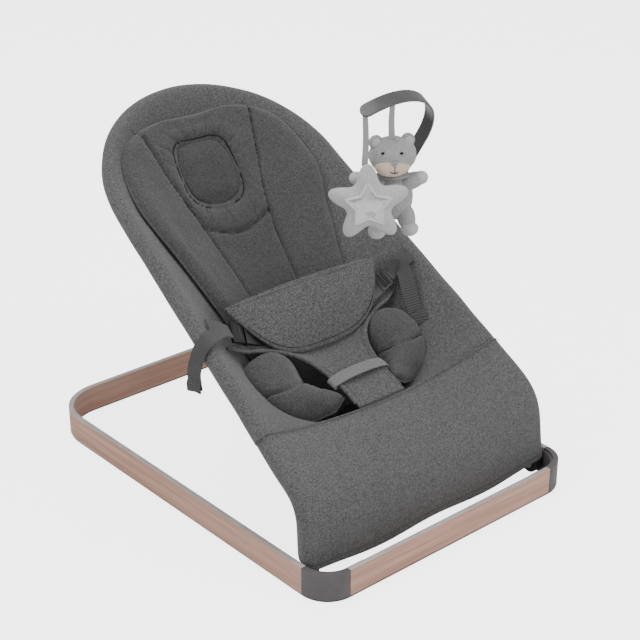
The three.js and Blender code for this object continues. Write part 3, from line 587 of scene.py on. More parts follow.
# %% How far the cloth hangs, station by station
# share of the incline, drop below the tube and how far forward the lowest point has slid
HANG = [
    (0.083, 17, 0),
    (0.2, 66, 16),
    (0.3, 101, 21),
    (0.42, 124, 25),
    (0.54, 129, 23),
    (0.68, 115, 17),
    (0.84, 91, 6),
    (1.0, 70, 1),
]
HOOP_HANG = [(20, 52), (40, 29), (58, 12), (76, 2)]
ROUND = 1.9  # 1 hangs in a V, 2 in a parabola

edges, middles = [], []
for share, drop, shift in HANG:
    rail = incline_point(share)
    edges.append(rail - Vector((EDGE_INSET, 0, 0)))
    middles.append(Vector((0, rail.y - shift, rail.z - drop)))
for degrees, drop in HOOP_HANG:
    rail = hoop_point(math.radians(degrees), EDGE_INSET)
    edges.append(rail)
    middles.append(Vector((0, rail.y + drop / 25, rail.z - drop)))
SHOULDER_V = (len(HANG) - 1) / (len(edges) - 1)


def hanging(side, v):
    """The cloth between the tubes: side from -1 to 1, v from the knee seam to the head."""
    edge, middle = through(edges, v), through(middles, v)
    rise = abs(side) ** ROUND
    y = middle.y + (edge.y - middle.y) * rise
    z = middle.z + (edge.z - middle.z) * rise
    return Vector((edge.x * side, y, z))


def hanging_at(x, v):
    return hanging(x / through(edges, v).x, v)


def head_height(x, y):
    """Height of the cloth inside the hoop, above a place on the plan."""
    reach = (HOOP_RISE - EDGE_INSET) * math.cos(HOOP_ANGLE)
    sine = min(max((y - SHOULDER.y) / reach, 0.0), 1.0)
    half = max((SHOULDER_X - EDGE_INSET) * math.sqrt(1 - sine * sine), 1.0)
    edge_z = SHOULDER.z + (HOOP_RISE - EDGE_INSET) * sine * math.sin(HOOP_ANGLE)
    drop = HANG[-1][1] * (1 - sine) ** 0.9
    return edge_z - drop * (1 - min(abs(x) / half, 1.0) ** ROUND)


print("shoulder of the tube at", [round(c) for c in SHOULDER])

# %% [markdown]
# ### Laying a sheet
#
# All cloth below starts from the same primitive, a grid. Its vertices are then laid one by one
# where a function of (u, v) says, as a tailor pins cloth to a form. The grid brings a clean UV
# map, which is stretched to real metres so that ribs and stitches have one size everywhere.


# %% Lay a grid by a function of (u, v)
def cloth_grid(name, columns, rows, place, finish, flat=(1.0, 1.0)):
    bpy.ops.object.select_all(action="DESELECT")
    bpy.ops.mesh.primitive_grid_add(x_subdivisions=columns, y_subdivisions=rows, size=1)
    piece = bpy.context.object
    piece.name = piece.data.name = name
    for vertex in piece.data.vertices:
        u, v = vertex.co.x + 0.5, vertex.co.y + 0.5
        vertex.co = place(min(max(u, 0.0), 1.0), min(max(v, 0.0), 1.0)) * MM
    for loop in piece.data.uv_layers[0].data:
        loop.uv = (loop.uv[0] * flat[0], loop.uv[1] * flat[1])
    piece.data.materials.append(finish)
    return piece


def outwards(piece):
    in_edit(
        piece,
        (bpy.ops.mesh.remove_doubles, {"threshold": 0.00005}),
        (bpy.ops.mesh.normals_make_consistent, {"inside": False}),
    )


def subdivided(piece, levels):
    surface = piece.modifiers.new("smooth", "SUBSURF")
    surface.levels = surface.render_levels = levels
    return settle(piece)


def thickened(piece, millimetres, offset=-1.0):
    wall = piece.modifiers.new("cloth", "SOLIDIFY")
    wall.thickness = millimetres * MM
    wall.offset = offset
    return settle(piece)


def worked_by_hand(piece, amount, size, seed):
    """Small soft waves, as cloth that was sewn and handled has: amount in mm, size in m."""
    for vertex, normal in zip(piece.data.vertices, [v.normal.copy() for v in piece.data.vertices]):
        wave = noise.noise(vertex.co / size + Vector((seed, seed * 1.7, seed * 0.3)))
        vertex.co += normal * wave * amount * MM
    piece.data.update()


def area_of(piece):
    return sum(face.area for face in piece.data.polygons)


def dress(piece, body, slot, *nodes):
    """Sets what the piece rides on and hides the frame solids it stands for; slot is not used."""
    smooth_by_angle(piece, 60)
    if nodes:
        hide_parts(*nodes)
    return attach(piece, body)


# %% [markdown]
# ### Back part of the cover
#
# The rows run across the seat. Where the cloth meets the tube, the slope it arrives with says
# at which angle it touches the tube; from there it is laid round the tube's section down to the
# inside, where the real tunnel is stitched. The left half is the mirror image of the right one.

# %% Rows of the back part
STRAIGHT_ROWS = 14
HOOP_ROWS = 13
INNER_POINTS = 9
TUNNEL_POINTS = 10
TUNNEL_END = math.radians(-165)
FAN_END = 96.0  # from the tip of the hanging cloth to where the fan of rows ends


def tunnel_points(centre, along, up, leave, end, points, radius=TUNNEL):
    """Points round the tube, from the angle where the cloth meets it to its end."""
    out = along.cross(up).normalized()
    ring = []
    for k in range(points + 1):
        angle = leave + (end - leave) * k / points
        ring.append(centre + (out * math.cos(angle) + up * math.sin(angle)) * radius)
    return ring


def row_across(inner, centre, along, up, end=TUNNEL_END):
    out = along.cross(up).normalized()
    edge, before = inner[-1], inner[-2]
    arriving = (before - edge).normalized()
    slope = math.atan2(-arriving.dot(up), -arriving.dot(out))
    leave = math.pi / 2 + max(slope, 0.0)
    return inner[:-1] + tunnel_points(centre, along, up, leave, end, TUNNEL_POINTS)


back_rows = []
for j in range(STRAIGHT_ROWS):
    v = SHOULDER_V * j / STRAIGHT_ROWS
    edge = through(edges, v)
    inner = [hanging(i / INNER_POINTS, v) for i in range(INNER_POINTS + 1)]
    back_rows.append(row_across(inner, edge + Vector((EDGE_INSET, 0, 0)), RAIL_DIRECTION, SEAT_UP))

tip = hoop_point(math.pi / 2, EDGE_INSET)
fan_start, fan_stop = middles[len(HANG) - 1].y, tip.y - FAN_END
for j in range(HOOP_ROWS + 1):
    share = j / HOOP_ROWS
    angle = math.pi / 2 * share
    edge = hoop_point(angle, EDGE_INSET)
    centre = hoop_point(angle)
    along = Vector(
        (
            -SHOULDER_X * math.sin(angle),
            HOOP_RISE * math.cos(angle) * math.cos(HOOP_ANGLE),
            HOOP_RISE * math.cos(angle) * math.sin(HOOP_ANGLE),
        )
    ).normalized()
    middle_y = fan_start + (fan_stop - fan_start) * share**0.85
    inner = []
    for i in range(INNER_POINTS + 1):
        s = i / INNER_POINTS
        x, y = edge.x * s, middle_y + (edge.y - middle_y) * s
        inner.append(Vector((x, y, head_height(x, y))))
    back_rows.append(row_across(inner, centre, along, SEAT_UP.lerp(HOOP_UP, share).normalized()))
print("rows:", len(back_rows), "points per half row:", len(back_rows[0]))


# %% Lay the back part on its rows
def lay_rows(name, rows, finish, flat):
    """A sheet through rows of points that run from the middle line to the right edge."""
    half = len(rows[0]) - 1

    def place(u, v):
        j = round(v * (len(rows) - 1))
        i = round(u * 2 * half) - half
        point = rows[j][abs(i)]
        return Vector((point.x if i >= 0 else -point.x, point.y, point.z))

    return cloth_grid(name, 2 * half, len(rows) - 1, place, finish, flat)


back_cover = lay_rows("back_cover", back_rows, cover_cloth, (0.56, 0.64))
for vertex in back_cover.data.vertices:
    if abs(vertex.co.x) < 0.0003:
        vertex.co.x = 0.0
outwards(back_cover)
subdivided(back_cover, 2)
worked_by_hand(back_cover, 0.8, 0.045, 3.0)
back_area = area_of(back_cover)
thickened(back_cover, 1.6)
dress(back_cover, "seat", "cover_cloth", "back_sling", "head_sleeve")
# The cut is a guess: it has 0.33 square metres, and this mesh 0.256.
print("back cover area, square metres:", round(back_area, 3))

# %% [markdown]
# ### Front part of the cover
#
# From the knee seam the cloth goes over the bend of the tubes and down inside the base, where
# it ends in a stitched hem. It is nearly flat in the middle and wraps the risers at its sides.
# Below the top of the base it has to stay inside the band, so the wrap gets flatter there.

# %% Rows of the front part
# depth and height of the middle line; the same for the tube's centre; forward reach
FRONT_STATIONS = [
    ((129, 143.5), incline_point(0.083), 11.5),
    ((113, 138.5), incline_point(0.035), 11.5),
    ((97, 132), knee_point(0.93), 11.5),
    ((82, 123), knee_point(0.75), 11.5),
    ((68, 112), knee_point(0.55), 11.6),
    ((56, 99), knee_point(0.33), 11.8),
    ((48, 86), knee_point(0.1), 12.0),
    ((43.5, 74), riser_point(76), 12.4),
    ((40.5, 62), riser_point(63), 12.9),
    ((38.5, 49), riser_point(50), 13.6),
    ((36.5, 36), riser_point(38), 14.2),
    ((35, 24), riser_point(27), 14.6),
]
FRONT_LEAVE = math.radians(100)

front_rows = []
last_station = len(FRONT_STATIONS) - 1
centres = [station[1] for station in FRONT_STATIONS]
for j, ((depth, z), centre, reach) in enumerate(FRONT_STATIONS):
    low = max(j / last_station - 0.5, 0) * 2
    nxt, prev = centres[min(j + 1, last_station)], centres[max(j - 1, 0)]
    along = (prev - nxt).normalized()
    up = Vector((0, -along.z, along.y)).normalized()
    end = TUNNEL_END + (math.radians(-20) - TUNNEL_END) * low
    outer = TUNNEL + 0.2 * low
    ring = []
    for k in range(TUNNEL_POINTS + 1):
        angle = FRONT_LEAVE + (end - FRONT_LEAVE) * k / TUNNEL_POINTS
        point = centre + Vector((math.cos(angle) * outer, 0, 0)) + up * math.sin(angle) * reach
        point.z += 11 * low**3 * k / TUNNEL_POINTS
        ring.append(point)
    middle = at(0, depth, z)
    inner = []
    for i in range(INNER_POINTS):
        s = i / INNER_POINTS
        rise = s * s
        x = ring[0].x * s
        sink = -5 * low**4 * math.sin(math.pi * s) ** 2
        y = middle.y + (ring[0].y - middle.y) * rise
        z = middle.z + (ring[0].z - middle.z) * rise + sink
        inner.append(Vector((x, y, z)))
    front_rows.append(inner + ring)

front_cover = lay_rows("front_cover", front_rows, cover_cloth, (0.52, 0.2))
outwards(front_cover)
subdivided(front_cover, 2)
worked_by_hand(front_cover, 0.7, 0.05, 8.0)
front_area = area_of(front_cover)
thickened(front_cover, 1.6)
dress(front_cover, "seat", "cover_cloth", "front_apron", "tube_sleeve_right", "tube_sleeve_left")
# The cut is a guess: it has 0.1 square metres, and this mesh 0.08.
print("front cover area, square metres:", round(front_area, 3))
# %% [markdown]
# ### Knee seam, hem and other stitching
#
# Real stitches are short dents of thread, about four millimetres long. Hundreds of them would be
# heavy as separate objects, so one low stitch is modelled once, copied along a line and the
# copies are joined. Long quiet seams, where only a dark line of shade shows, are thin near-black
# cords laid in the valley instead: painted shade where the valley's shadow falls.


# %% Helpers for seams
def cord_line(name, points, radius, finish, closed=False):
    """A round cord through points in millimetres, made a mesh."""
    bpy.ops.object.select_all(action="DESELECT")
    line = bpy.data.curves.new(name, "CURVE")
    line.dimensions = "3D"
    line.bevel_depth = radius * MM
    line.bevel_resolution = 2
    line.use_fill_caps = not closed
    spline = line.splines.new("POLY")
    spline.points.add(len(points) - 1)
    for knot, point in zip(spline.points, points):
        knot.co = (*(point * MM), 1)
    spline.use_cyclic_u = closed
    piece = bpy.data.objects.new(name, line)
    scene.collection.objects.link(piece)
    only(piece)
    bpy.ops.object.convert(target="MESH")
    piece = bpy.context.object
    piece.data.name = name
    piece.data.materials.clear()
    piece.data.materials.append(finish)
    return piece


def spaced(points, gap):
    """Places and directions at even distances along a line of points."""
    found, carried = [], gap / 2
    for a, b in zip(points, points[1:]):
        step = b - a
        length = step.length
        while carried < length:
            found.append((a + step * (carried / length), step.normalized()))
            carried += gap
        carried -= length
    return found


def stitches(name, points, up, finish, length=2.6, gap=4.4, width=0.7, height=0.35):
    """One stitch, modelled once and copied along the line; up(k) points out of the cloth."""
    bpy.ops.object.select_all(action="DESELECT")
    bpy.ops.mesh.primitive_cylinder_add(vertices=6, radius=0.5, depth=1, end_fill_type="TRIFAN")
    pattern = bpy.context.object
    for vertex in pattern.data.vertices:
        if abs(vertex.co.x) < 1e-4 and abs(vertex.co.y) < 1e-4:
            vertex.co.z *= 1.3
    copies = []
    for k, (place, along) in enumerate(spaced(points, gap)):
        out = up(k).normalized() if callable(up) else up.normalized()
        across = along.cross(out).normalized()
        out = across.cross(along)
        turn = Matrix((across * width, out * height * 2, along * length)).transposed().to_4x4()
        copy = pattern.data.copy()
        copy.transform(Matrix.Scale(MM, 4) @ Matrix.Translation(place) @ turn)
        piece = bpy.data.objects.new(f"{name}_{k}", copy)
        scene.collection.objects.link(piece)
        copies.append(piece)
    bpy.data.objects.remove(pattern)
    bpy.ops.object.select_all(action="DESELECT")
    for piece in copies:
        piece.select_set(True)
    bpy.context.view_layer.objects.active = copies[0]
    bpy.ops.object.join()
    joined = bpy.context.object
    joined.name = joined.data.name = name
    joined.data.materials.clear()
    joined.data.materials.append(finish)
    return joined


# %% Knee seam and hem
def mirrored(points):
    return [Vector((-p.x, p.y, p.z)) for p in reversed(points)][:-1] + points


knee_row = mirrored(front_rows[0][: INNER_POINTS + 5])
knee_seam = cord_line("knee_seam", [p + Vector((0, 0.5, 0.5)) for p in knee_row], 1.0, cover_cloth)
dress(knee_seam, "seat", "cover_cloth")
knee_stitches = stitches(
    "knee_stitches", [p + Vector((0, -3.5, 0.6)) for p in knee_row], Vector((0, -0.6, 0.8)), thread
)
dress(knee_stitches, "seat", "cover_cloth")

hem_lines = [front_rows[-1][: INNER_POINTS + 6], front_rows[-2][: INNER_POINTS + 6]]
hem_row = mirrored([a.lerp(b, 0.62) for a, b in zip(*hem_lines)])
hem_stitches = stitches(
    "hem_stitches", [p + Vector((0, -0.75, 0)) for p in hem_row], Vector((0, -1, 0.15)), thread
)
dress(hem_stitches, "seat", "cover_cloth")
print("knee and hem stitched")

# %% [markdown]
# ## The newborn insert
#
# This is a thin quilted pad that lies in the cover. Its face is one piece of cloth, but seams
# divide it: two long ones run down the back and leave a narrow middle panel, one curved seam
# crosses that panel below the head, and the cloth round the head pillow is gathered, so that it
# puckers in spokes. A pad could be blown up by simulation, but a voxel remesh would erase just
# these seams. They are the pad's character, so its face is laid as a fine grid whose height is
# worked out: a rounded rim, a swell for each panel, a valley for each seam, a crease per pucker.

# %% Places on the cover
PAD_BASE = 3.6  # underside of a pad above the middle of the cloth
PAD_RISE = 12.0
RIM = 15.0  # how far in the rim has reached its full height


def cover_normal(x, v):
    across = hanging_at(x + 1.0, v) - hanging_at(x - 1.0, v)
    upward = hanging_at(x, v + 0.004) - hanging_at(x, v - 0.004)
    return across.cross(upward).normalized()


def over_cover(x, v, lift):
    return hanging_at(x, v) + cover_normal(x, v) * lift


def rim_rise(distance, width=RIM):
    share = min(max(distance / width, 0.0), 1.0)
    return math.sqrt(1 - (1 - share) ** 2)


def valley(distance, width, depth):
    return -depth * math.exp(-((distance / width) ** 2))


# %% Plan of the insert
INSERT_FOOT, INSERT_HEAD = 0.17, 0.932
INSERT_HALF_WIDTHS = [86, 92, 98, 105, 126, 147, 141, 113, 26]
ROUND_FROM, ROUND_HALF, ROUND_REACH = 0.66, 147.0, 0.277  # the round head, half an ellipse
INSERT_LENGTH = 500.0
SEAM_SPREAD = [  # depth behind the front face, and distance of the long seams from the middle
    (300, 40),
    (336, 42),
    (375, 47),
    (405, 53),
    (430, 59),
    (446, 64),
    (462, 71),
    (475, 77),
    (490, 83),
    (512, 92),
]
PILLOW_V, PILLOW_X = 0.768, -7.0  # the pillow lies a little off the middle
PILLOW_HALF, PILLOW_RISE = 47.0, 49.5
V_TO_MM = 640.0  # millimetres of cloth per unit of v, near the head
CROSS_SEAM = -86.0  # of the cross seam from the middle of the pillow
PUCKERS = (8, 27, 50, 72, 91, 108, 127, 149, 171)  # directions of the creases, in degrees


def long_seam(depth):
    for (d0, x0), (d1, x1) in zip(SEAM_SPREAD, SEAM_SPREAD[1:]):
        if depth <= d1:
            return x0 + (x1 - x0) * max(depth - d0, 0) / (d1 - d0)
    return SEAM_SPREAD[-1][1]


def pillow_share(x, q, grow=0.0):
    """1 on the outline of the pillow, less inside; q runs up from its middle."""
    half = PILLOW_HALF - 0.05 * q + grow
    return ((abs(x - PILLOW_X) / half) ** 3.6 + (abs(q) / (PILLOW_RISE + grow)) ** 3.6) ** (1 / 3.6)


def insert_half(t):
    v = INSERT_FOOT + (INSERT_HEAD - INSERT_FOOT) * t
    if v < ROUND_FROM:
        return through(INSERT_HALF_WIDTHS, t)
    return ROUND_HALF * math.sqrt(1 - ((v - ROUND_FROM) / ROUND_REACH) ** 2)


def insert_plan(u, t):
    v = INSERT_FOOT + (INSERT_HEAD - INSERT_FOOT) * t
    half = insert_half(t)
    return half * (2 * u - 1), v, half


# %% Height of the insert's face
def head_detail(x, q, limit):
    """Swell, puckers and seams of the gathered part round the pillow."""
    share = pillow_share(x, q)
    if share < 1:
        return -5.5 * min((1 - share) * 5, 1.0)
    height = 4.0 * math.sin(min((share - 1) / 0.5, 1.0) * math.pi * 0.75)
    height += valley((share - 1) * PILLOW_HALF, 2.2, 3.5)
    reach = math.hypot(x - PILLOW_X, q)
    angle = math.degrees(math.atan2(q, x - PILLOW_X))
    fade = min(max((share - 1) / 0.12, 0), 1) * max(1 - (share - 1) / 1.1, 0)
    for k, pucker in enumerate(PUCKERS):
        apart = math.radians((angle - pucker + 180) % 360 - 180)
        if abs(apart) < 1.2:
            height += valley(reach * math.sin(apart), 2.0 + 0.25 * (k % 3), 1.9 + 0.6 * (k % 2)) * fade
    if q < -PILLOW_RISE:
        for short_seam in (-42, -6, 36):
            height += valley(x - short_seam - 0.12 * (q + PILLOW_RISE), 1.7, 2.4)
    return height


def insert_height(u, t):
    x, v, half = insert_plan(u, t)
    depth = hanging_at(x, v).y - FRONT
    length_left = (1 - t) * INSERT_LENGTH
    rise = rim_rise((1 - abs(2 * u - 1)) * half) * rim_rise(length_left) * rim_rise(t * INSERT_LENGTH)
    seam = long_seam(depth)
    q = (v - PILLOW_V) * V_TO_MM
    cross = CROSS_SEAM + 6.0 * (x / 50) ** 2
    detail = valley(abs(x) - seam, 2.4, 4.2)
    if abs(x) > seam:
        local = min((abs(x) - seam) / max(half - seam, 1), 1)
        detail += 3.4 * max(math.sin(math.pi * local), 0) ** 0.7
    else:
        detail += 2.2 * max(math.cos(math.pi / 2 * x / seam), 0) ** 0.7
        detail += valley(q - cross, 2.2, 3.6)
        if q > cross:
            detail += head_detail(x, q, seam) * min((q - cross) / 8, 1.0)
    return PAD_BASE + 1.0 + (PAD_RISE + detail) * rise


def insert_face(u, t):
    x, v, _ = insert_plan(u, t)
    return over_cover(x, v, insert_height(u, t))


def insert_back(u, t):
    x, v, _ = insert_plan(u, t)
    inside = 0 < u < 1 and 0 < t < 1
    return over_cover(x, v, PAD_BASE if inside else PAD_BASE + 1.0)


# %% Lay and close the insert
def closed_pad(name, columns, rows, face, reverse, finish, flat):
    """Two grids that share their rim, merged into one closed pad."""
    pad = cloth_grid(name, columns, rows, face, finish, flat)
    under = cloth_grid(name + "_back", columns, rows, reverse, finish, flat)
    only(pad)
    under.select_set(True)
    bpy.ops.object.join()
    outwards(pad)
    return pad


insert_pad = closed_pad("quilted_insert", 118, 168, insert_face, insert_back, insert_cloth, (0.29, 0.47))
worked_by_hand(insert_pad, 1.1, 0.032, 5.0)
worked_by_hand(insert_pad, 0.5, 0.012, 15.0)
dress(insert_pad, "seat", "insert_cloth", "insert_pad", "head_ring")
print("insert faces:", len(insert_pad.data.polygons))

# %% [markdown]
# ### Piping and seam lines of the insert
#
# A thin lighter piping runs round the rim, and it catches the light as one pale line. The long
# seams are drawn with thin near-black cords at the bottom of their valleys: painted shade where the valleys
# fall dark.


# %% Piping and seam lines
def insert_line(plan_points, lift):
    return [over_cover(x, v, insert_height(u, t) + lift) for x, v, u, t in plan_points]


def along_rim(steps=60):
    spots = [(0.0, k / steps) for k in range(steps + 1)]
    spots += [(k / 30, 1.0) for k in range(1, 30)]
    spots += [(1.0, 1 - k / steps) for k in range(steps + 1)]
    return [insert_plan(u, t)[:2] + (u, t) for u, t in spots]


rim_piping = cord_line("insert_piping", insert_line(along_rim(), 0.4), 1.5, insert_cloth)
dress(rim_piping, "seat", "insert_cloth")


def on_long_seam(sign):
    spots = []
    for k in range(70):
        t = 0.36 + 0.635 * k / 69
        half = insert_half(t)
        x = sign * 45.0
        for _ in range(3):
            u = (x / half + 1) / 2
            v = insert_plan(u, t)[1]
            x = sign * long_seam(hanging_at(x, v).y - FRONT)
        spots.append((x, v, (x / half + 1) / 2, t))
    return spots


for side, sign in zip(SIDES, (1, -1)):
    # Near-black cord in each long seam's valley: painted shade.
    line = cord_line(f"long_seam_{side}", insert_line(on_long_seam(sign), 0.1), 0.42, seam_shade_and_dark_thread)
    dress(line, "seat", "insert_cloth")


def spot_at(x, v):
    t = (v - INSERT_FOOT) / (INSERT_HEAD - INSERT_FOOT)
    for _ in range(3):
        u = (x / insert_half(t) + 1) / 2
        t += (v - insert_plan(u, t)[1]) / (INSERT_HEAD - INSERT_FOOT)
    return (x, v, (x / insert_half(t) + 1) / 2, t)


cross_points = []
for k in range(31):
    x = -51 + 102 * k / 30
    cross_points.append(spot_at(x, PILLOW_V + (CROSS_SEAM + 6.0 * (x / 50) ** 2) / V_TO_MM))
# Near-black cord in the cross seam's valley: painted shade.
dress(cord_line("cross_seam", insert_line(cross_points, 0.1), 0.42, seam_shade_and_dark_thread), "seat", "insert_cloth")

outline_points = []
for k in range(64):
    angle = 2 * math.pi * k / 64
    x, q = math.cos(angle) * PILLOW_HALF, math.sin(angle) * PILLOW_RISE
    stretch = 1.02 / pillow_share(PILLOW_X + x, q)
    outline_points.append(spot_at(PILLOW_X + x * stretch, PILLOW_V + q * stretch / V_TO_MM))
# Near-black cord in the valley round the pillow: painted shade.
pillow_seam = cord_line("pillow_seam", insert_line(outline_points, 1.2), 0.7, seam_shade_and_dark_thread, closed=True)
dress(pillow_seam, "seat", "insert_cloth")
print("seams of the insert drawn")

# %% [markdown]
# ### Head pillow and thigh bolsters
#
# Both are small stuffed forms with a seam round them. They start as a closed pad on a rounded
# plan and are then blown up by a short cloth simulation with air pressure inside, which
# gives the crown, the pull at the seam and the small folds that hand shaping rarely gets right.
# The movement is capped, so that a pad can't swell into its neighbours.


# %% Rounded plans and the blowing up
def rounded_plan(u, t, roundness=0.75):
    """Carries the unit square to a square with round corners, from -1 to 1 both ways."""
    a, b = 2 * u - 1, 2 * t - 1
    x = a * math.sqrt(1 - roundness * b * b / 2)
    y = b * math.sqrt(1 - roundness * a * a / 2)
    return x, y


def edge_distance(u, t):
    return min(1 - abs(2 * u - 1), 1 - abs(2 * t - 1))


def blown_up(pad, pressure, cap, voxel=0.0042, frames=18):
    """Cloth with air inside, gravity off; no point moves more than cap millimetres."""
    only(pad)
    pad.data.remesh_voxel_size = voxel
    bpy.ops.object.voxel_remesh()
    start = [v.co.copy() for v in pad.data.vertices]
    cloth = pad.modifiers.new("air", "CLOTH")
    cloth.settings.use_pressure = True
    cloth.settings.uniform_pressure_force = pressure
    cloth.settings.effector_weights.gravity = 0
    cloth.settings.mass = 0.2
    cloth.point_cache.frame_start, cloth.point_cache.frame_end = 1, frames
    for frame_number in range(1, frames + 1):
        scene.frame_set(frame_number)
    only(pad)
    bpy.ops.object.modifier_apply(modifier=cloth.name)
    scene.frame_set(1)
    for vertex, rest in zip(pad.data.vertices, start):
        move = vertex.co - rest
        if move.length > cap * MM:
            vertex.co = rest + move.normalized() * cap * MM
    return subdivided(pad, 1)


def press_line(pad, points, width, depth):
    """Presses a seam into a pad: points near the line sink against their normal."""
    line = [p * MM for p in points]
    moves = []
    for vertex in pad.data.vertices:
        near = min((vertex.co - p).length for p in line)
        if near < 3 * width * MM:
            moves.append((vertex, vertex.normal.copy(), valley(near / MM, width, depth)))
    for vertex, normal, amount in moves:
        vertex.co += normal * amount * MM
    pad.data.update()
    return pad


# %% Head pillow
PILLOW_LIFT = PAD_BASE + 9.0


def pillow_face(u, t, crown=6.5, grow=-2.0):
    a, b = rounded_plan(u, t, 0.8)
    q = b * (PILLOW_RISE + grow)
    x = PILLOW_X + a * (PILLOW_HALF - 0.05 * q + grow)
    rise = rim_rise(edge_distance(u, t), 0.5)
    return over_cover(x, PILLOW_V + q / V_TO_MM, PILLOW_LIFT + 1.5 + crown * rise)


def pillow_back(u, t):
    a, b = rounded_plan(u, t, 0.8)
    q = b * (PILLOW_RISE - 2.0)
    x = PILLOW_X + a * (PILLOW_HALF - 0.05 * q - 2.0)
    inside = 0 < u < 1 and 0 < t < 1
    return over_cover(x, PILLOW_V + q / V_TO_MM, PILLOW_LIFT - 1.0 if inside else PILLOW_LIFT + 1.5)


head_pillow = closed_pad("head_pillow_soft", 32, 32, pillow_face, pillow_back, pillow_cloth, (0.1, 0.1))
blown_up(head_pillow, 3.0, 2.0)
worked_by_hand(head_pillow, 0.5, 0.018, 2.0)
dress(head_pillow, "seat", "insert_cloth", "head_pillow")

# %% Thigh bolsters
BOLSTER_OUTER = [  # right side, from the crotch strip round to the back
    (58, 154, 138),
    (86, 165, 130),
    (112, 175, 139),
    (128, 188, 154),
    (135, 204, 166),
    (139, 218, 174),
    (139, 232, 179),
    (129, 245, 183),
    (110, 253, 184),
]
BOLSTER_INNER = [
    (41, 157, 149),
    (46, 174, 150),
    (52, 189, 150),
    (57, 201, 151),
    (60, 213, 156),
    (60, 225, 166),
    (64, 236, 176),
    (76, 247, 182),
    (96, 253, 184),
]
BOLSTER_UP = Vector((-0.18, -0.45, 0.87)).normalized()
bolster_outer = [at(*point) for point in BOLSTER_OUTER]
bolster_inner = [at(*point) for point in BOLSTER_INNER]


def bolster_place(u, t, lift):
    return through(bolster_outer, t).lerp(through(bolster_inner, t), u) + BOLSTER_UP * lift


def bolster_rim(u, t):
    return rim_rise(1 - abs(2 * u - 1), 0.8) * rim_rise(1 - abs(2 * t - 1), 0.3)


def bolster_face(u, t):
    return bolster_place(u, t, 17.0 * bolster_rim(u, t))


def bolster_back(u, t):
    return bolster_place(u, t, -9.0 * bolster_rim(u, t))


bolster = closed_pad(
    "thigh_bolster_soft_right", 30, 44, bolster_face, bolster_back, insert_cloth, (0.08, 0.15)
)
blown_up(bolster, 3.0, 2.5)
cross_line = [bolster_face(k / 40, 0.47 - 0.06 * math.sin(math.pi * k / 40)) for k in range(41)]
press_line(bolster, cross_line, 2.8, 4.5)
for tuck_start in (0.22, 0.33):
    tuck = [bolster_face(0.98 - 0.3 * k / 12, tuck_start + 0.05 * k / 12) for k in range(13)]
    press_line(bolster, tuck, 2.0, 2.2)
worked_by_hand(bolster, 0.9, 0.02, 7.0)


def mirrored_copy(piece, name):
    """The left one of a pair: mirrored in its mesh, with its normals turned back out."""
    twin = piece.copy()
    twin.data = piece.data.copy()
    twin.name = twin.data.name = name
    for key in list(twin.keys()):
        if key.startswith("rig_"):
            del twin[key]
    scene.collection.objects.link(twin)
    twin.parent = None
    twin.data.transform(Matrix.Scale(-1, 4, (1, 0, 0)))
    twin.data.flip_normals()
    return twin


left_bolster = mirrored_copy(bolster, "thigh_bolster_soft_left")
piping_line = [bolster_place(0, k / 24, 0.5) for k in range(25)]
piping_line += [bolster_place(k / 6, 1, 0.5) for k in range(1, 6)]
piping_line += [bolster_place(1, 1 - k / 24, 0.5) for k in range(25)]
piping_line += [bolster_place(1 - k / 5, 0, 0.5) for k in range(1, 5)]
for side, piece, sign in (("right", bolster, 1), ("left", left_bolster, -1)):
    dress(piece, "seat", "insert_cloth", f"thigh_bolster_{side}")
    seam_points = [Vector((p.x * sign, p.y, p.z)) - BOLSTER_UP * 3.4 for p in cross_line]
    # Near-black cord in the pressed seam's valley: painted shade.
    dress(cord_line(f"bolster_seam_{side}", seam_points, 0.45, seam_shade_and_dark_thread), "seat", "insert_cloth")
    piping_points = [Vector((p.x * sign, p.y, p.z)) for p in piping_line]
    piping = cord_line(f"bolster_piping_{side}", piping_points, 1.3, insert_cloth, closed=True)
    dress(piping, "seat", "insert_cloth")
print("pillow and bolsters made")
# %% [markdown]
# ## The harness
#
# The under layer is a strip that comes up between the legs from the knee seam and spreads to both
# sides, under the buckles. A rounded flap is sewn to its top and hangs over it. Both are two
# layers of the cover's cloth with a thin filling, so they are laid as smooth surfaces, given
# thickness, and edged with a rolled seam.

# %% Under layer of the harness
PANEL_MIDDLES = [
    (0, 131, 145.5),
    (0, 159, 157.5),
    (0, 187, 165),
    (0, 212, 169),
    (0, 232, 172),
    (0, 246, 181),
    (0, 258, 192),
    (0, 268, 204),
]
PANEL_SIDES = [
    (37, 132, 145),
    (36, 159, 157),
    (39, 187, 168),
    (47, 212, 179),
    (64, 232, 189),
    (90, 245, 197),
    (120, 252, 203),
    (139, 261, 211),
]
panel_middles = [at(*point) for point in PANEL_MIDDLES]
panel_sides = [at(*point) for point in PANEL_SIDES]


def panel_place(u, v):
    turn = 2 * u - 1
    edge, middle = through(panel_sides, v), through(panel_middles, v)
    rise = abs(turn) ** 2.2
    y = middle.y + (edge.y - middle.y) * rise
    z = middle.z + (edge.z - middle.z) * rise
    return Vector((edge.x * turn, y, z))


panel = cloth_grid("harness_under_layer", 36, 44, panel_place, flap_cloth, (0.2, 0.2))
worked_by_hand(panel, 0.8, 0.03, 11.0)
thickened(panel, 3.4, 0)
dress(panel, "seat", "cover_cloth", "harness_panel")

for side, sign in zip(SIDES, (1, -1)):
    line = [panel_place(1, 0.04 + 0.96 * k / 44) for k in range(45)]
    line = [Vector((p.x * sign, p.y, p.z)) for p in line]
    dress(cord_line(f"under_layer_edge_{side}", line, 2.5, flap_cloth), "seat", "cover_cloth")
    inside = [panel_place(0.93, 0.04 + 0.9 * k / 40) + Vector((0, -1.0, 1.5)) for k in range(41)]
    inside = [Vector((p.x * sign, p.y, p.z)) for p in inside]
    dress(cord_line(f"under_layer_seam_{side}", inside, 0.35, thread), "seat", "cover_cloth")

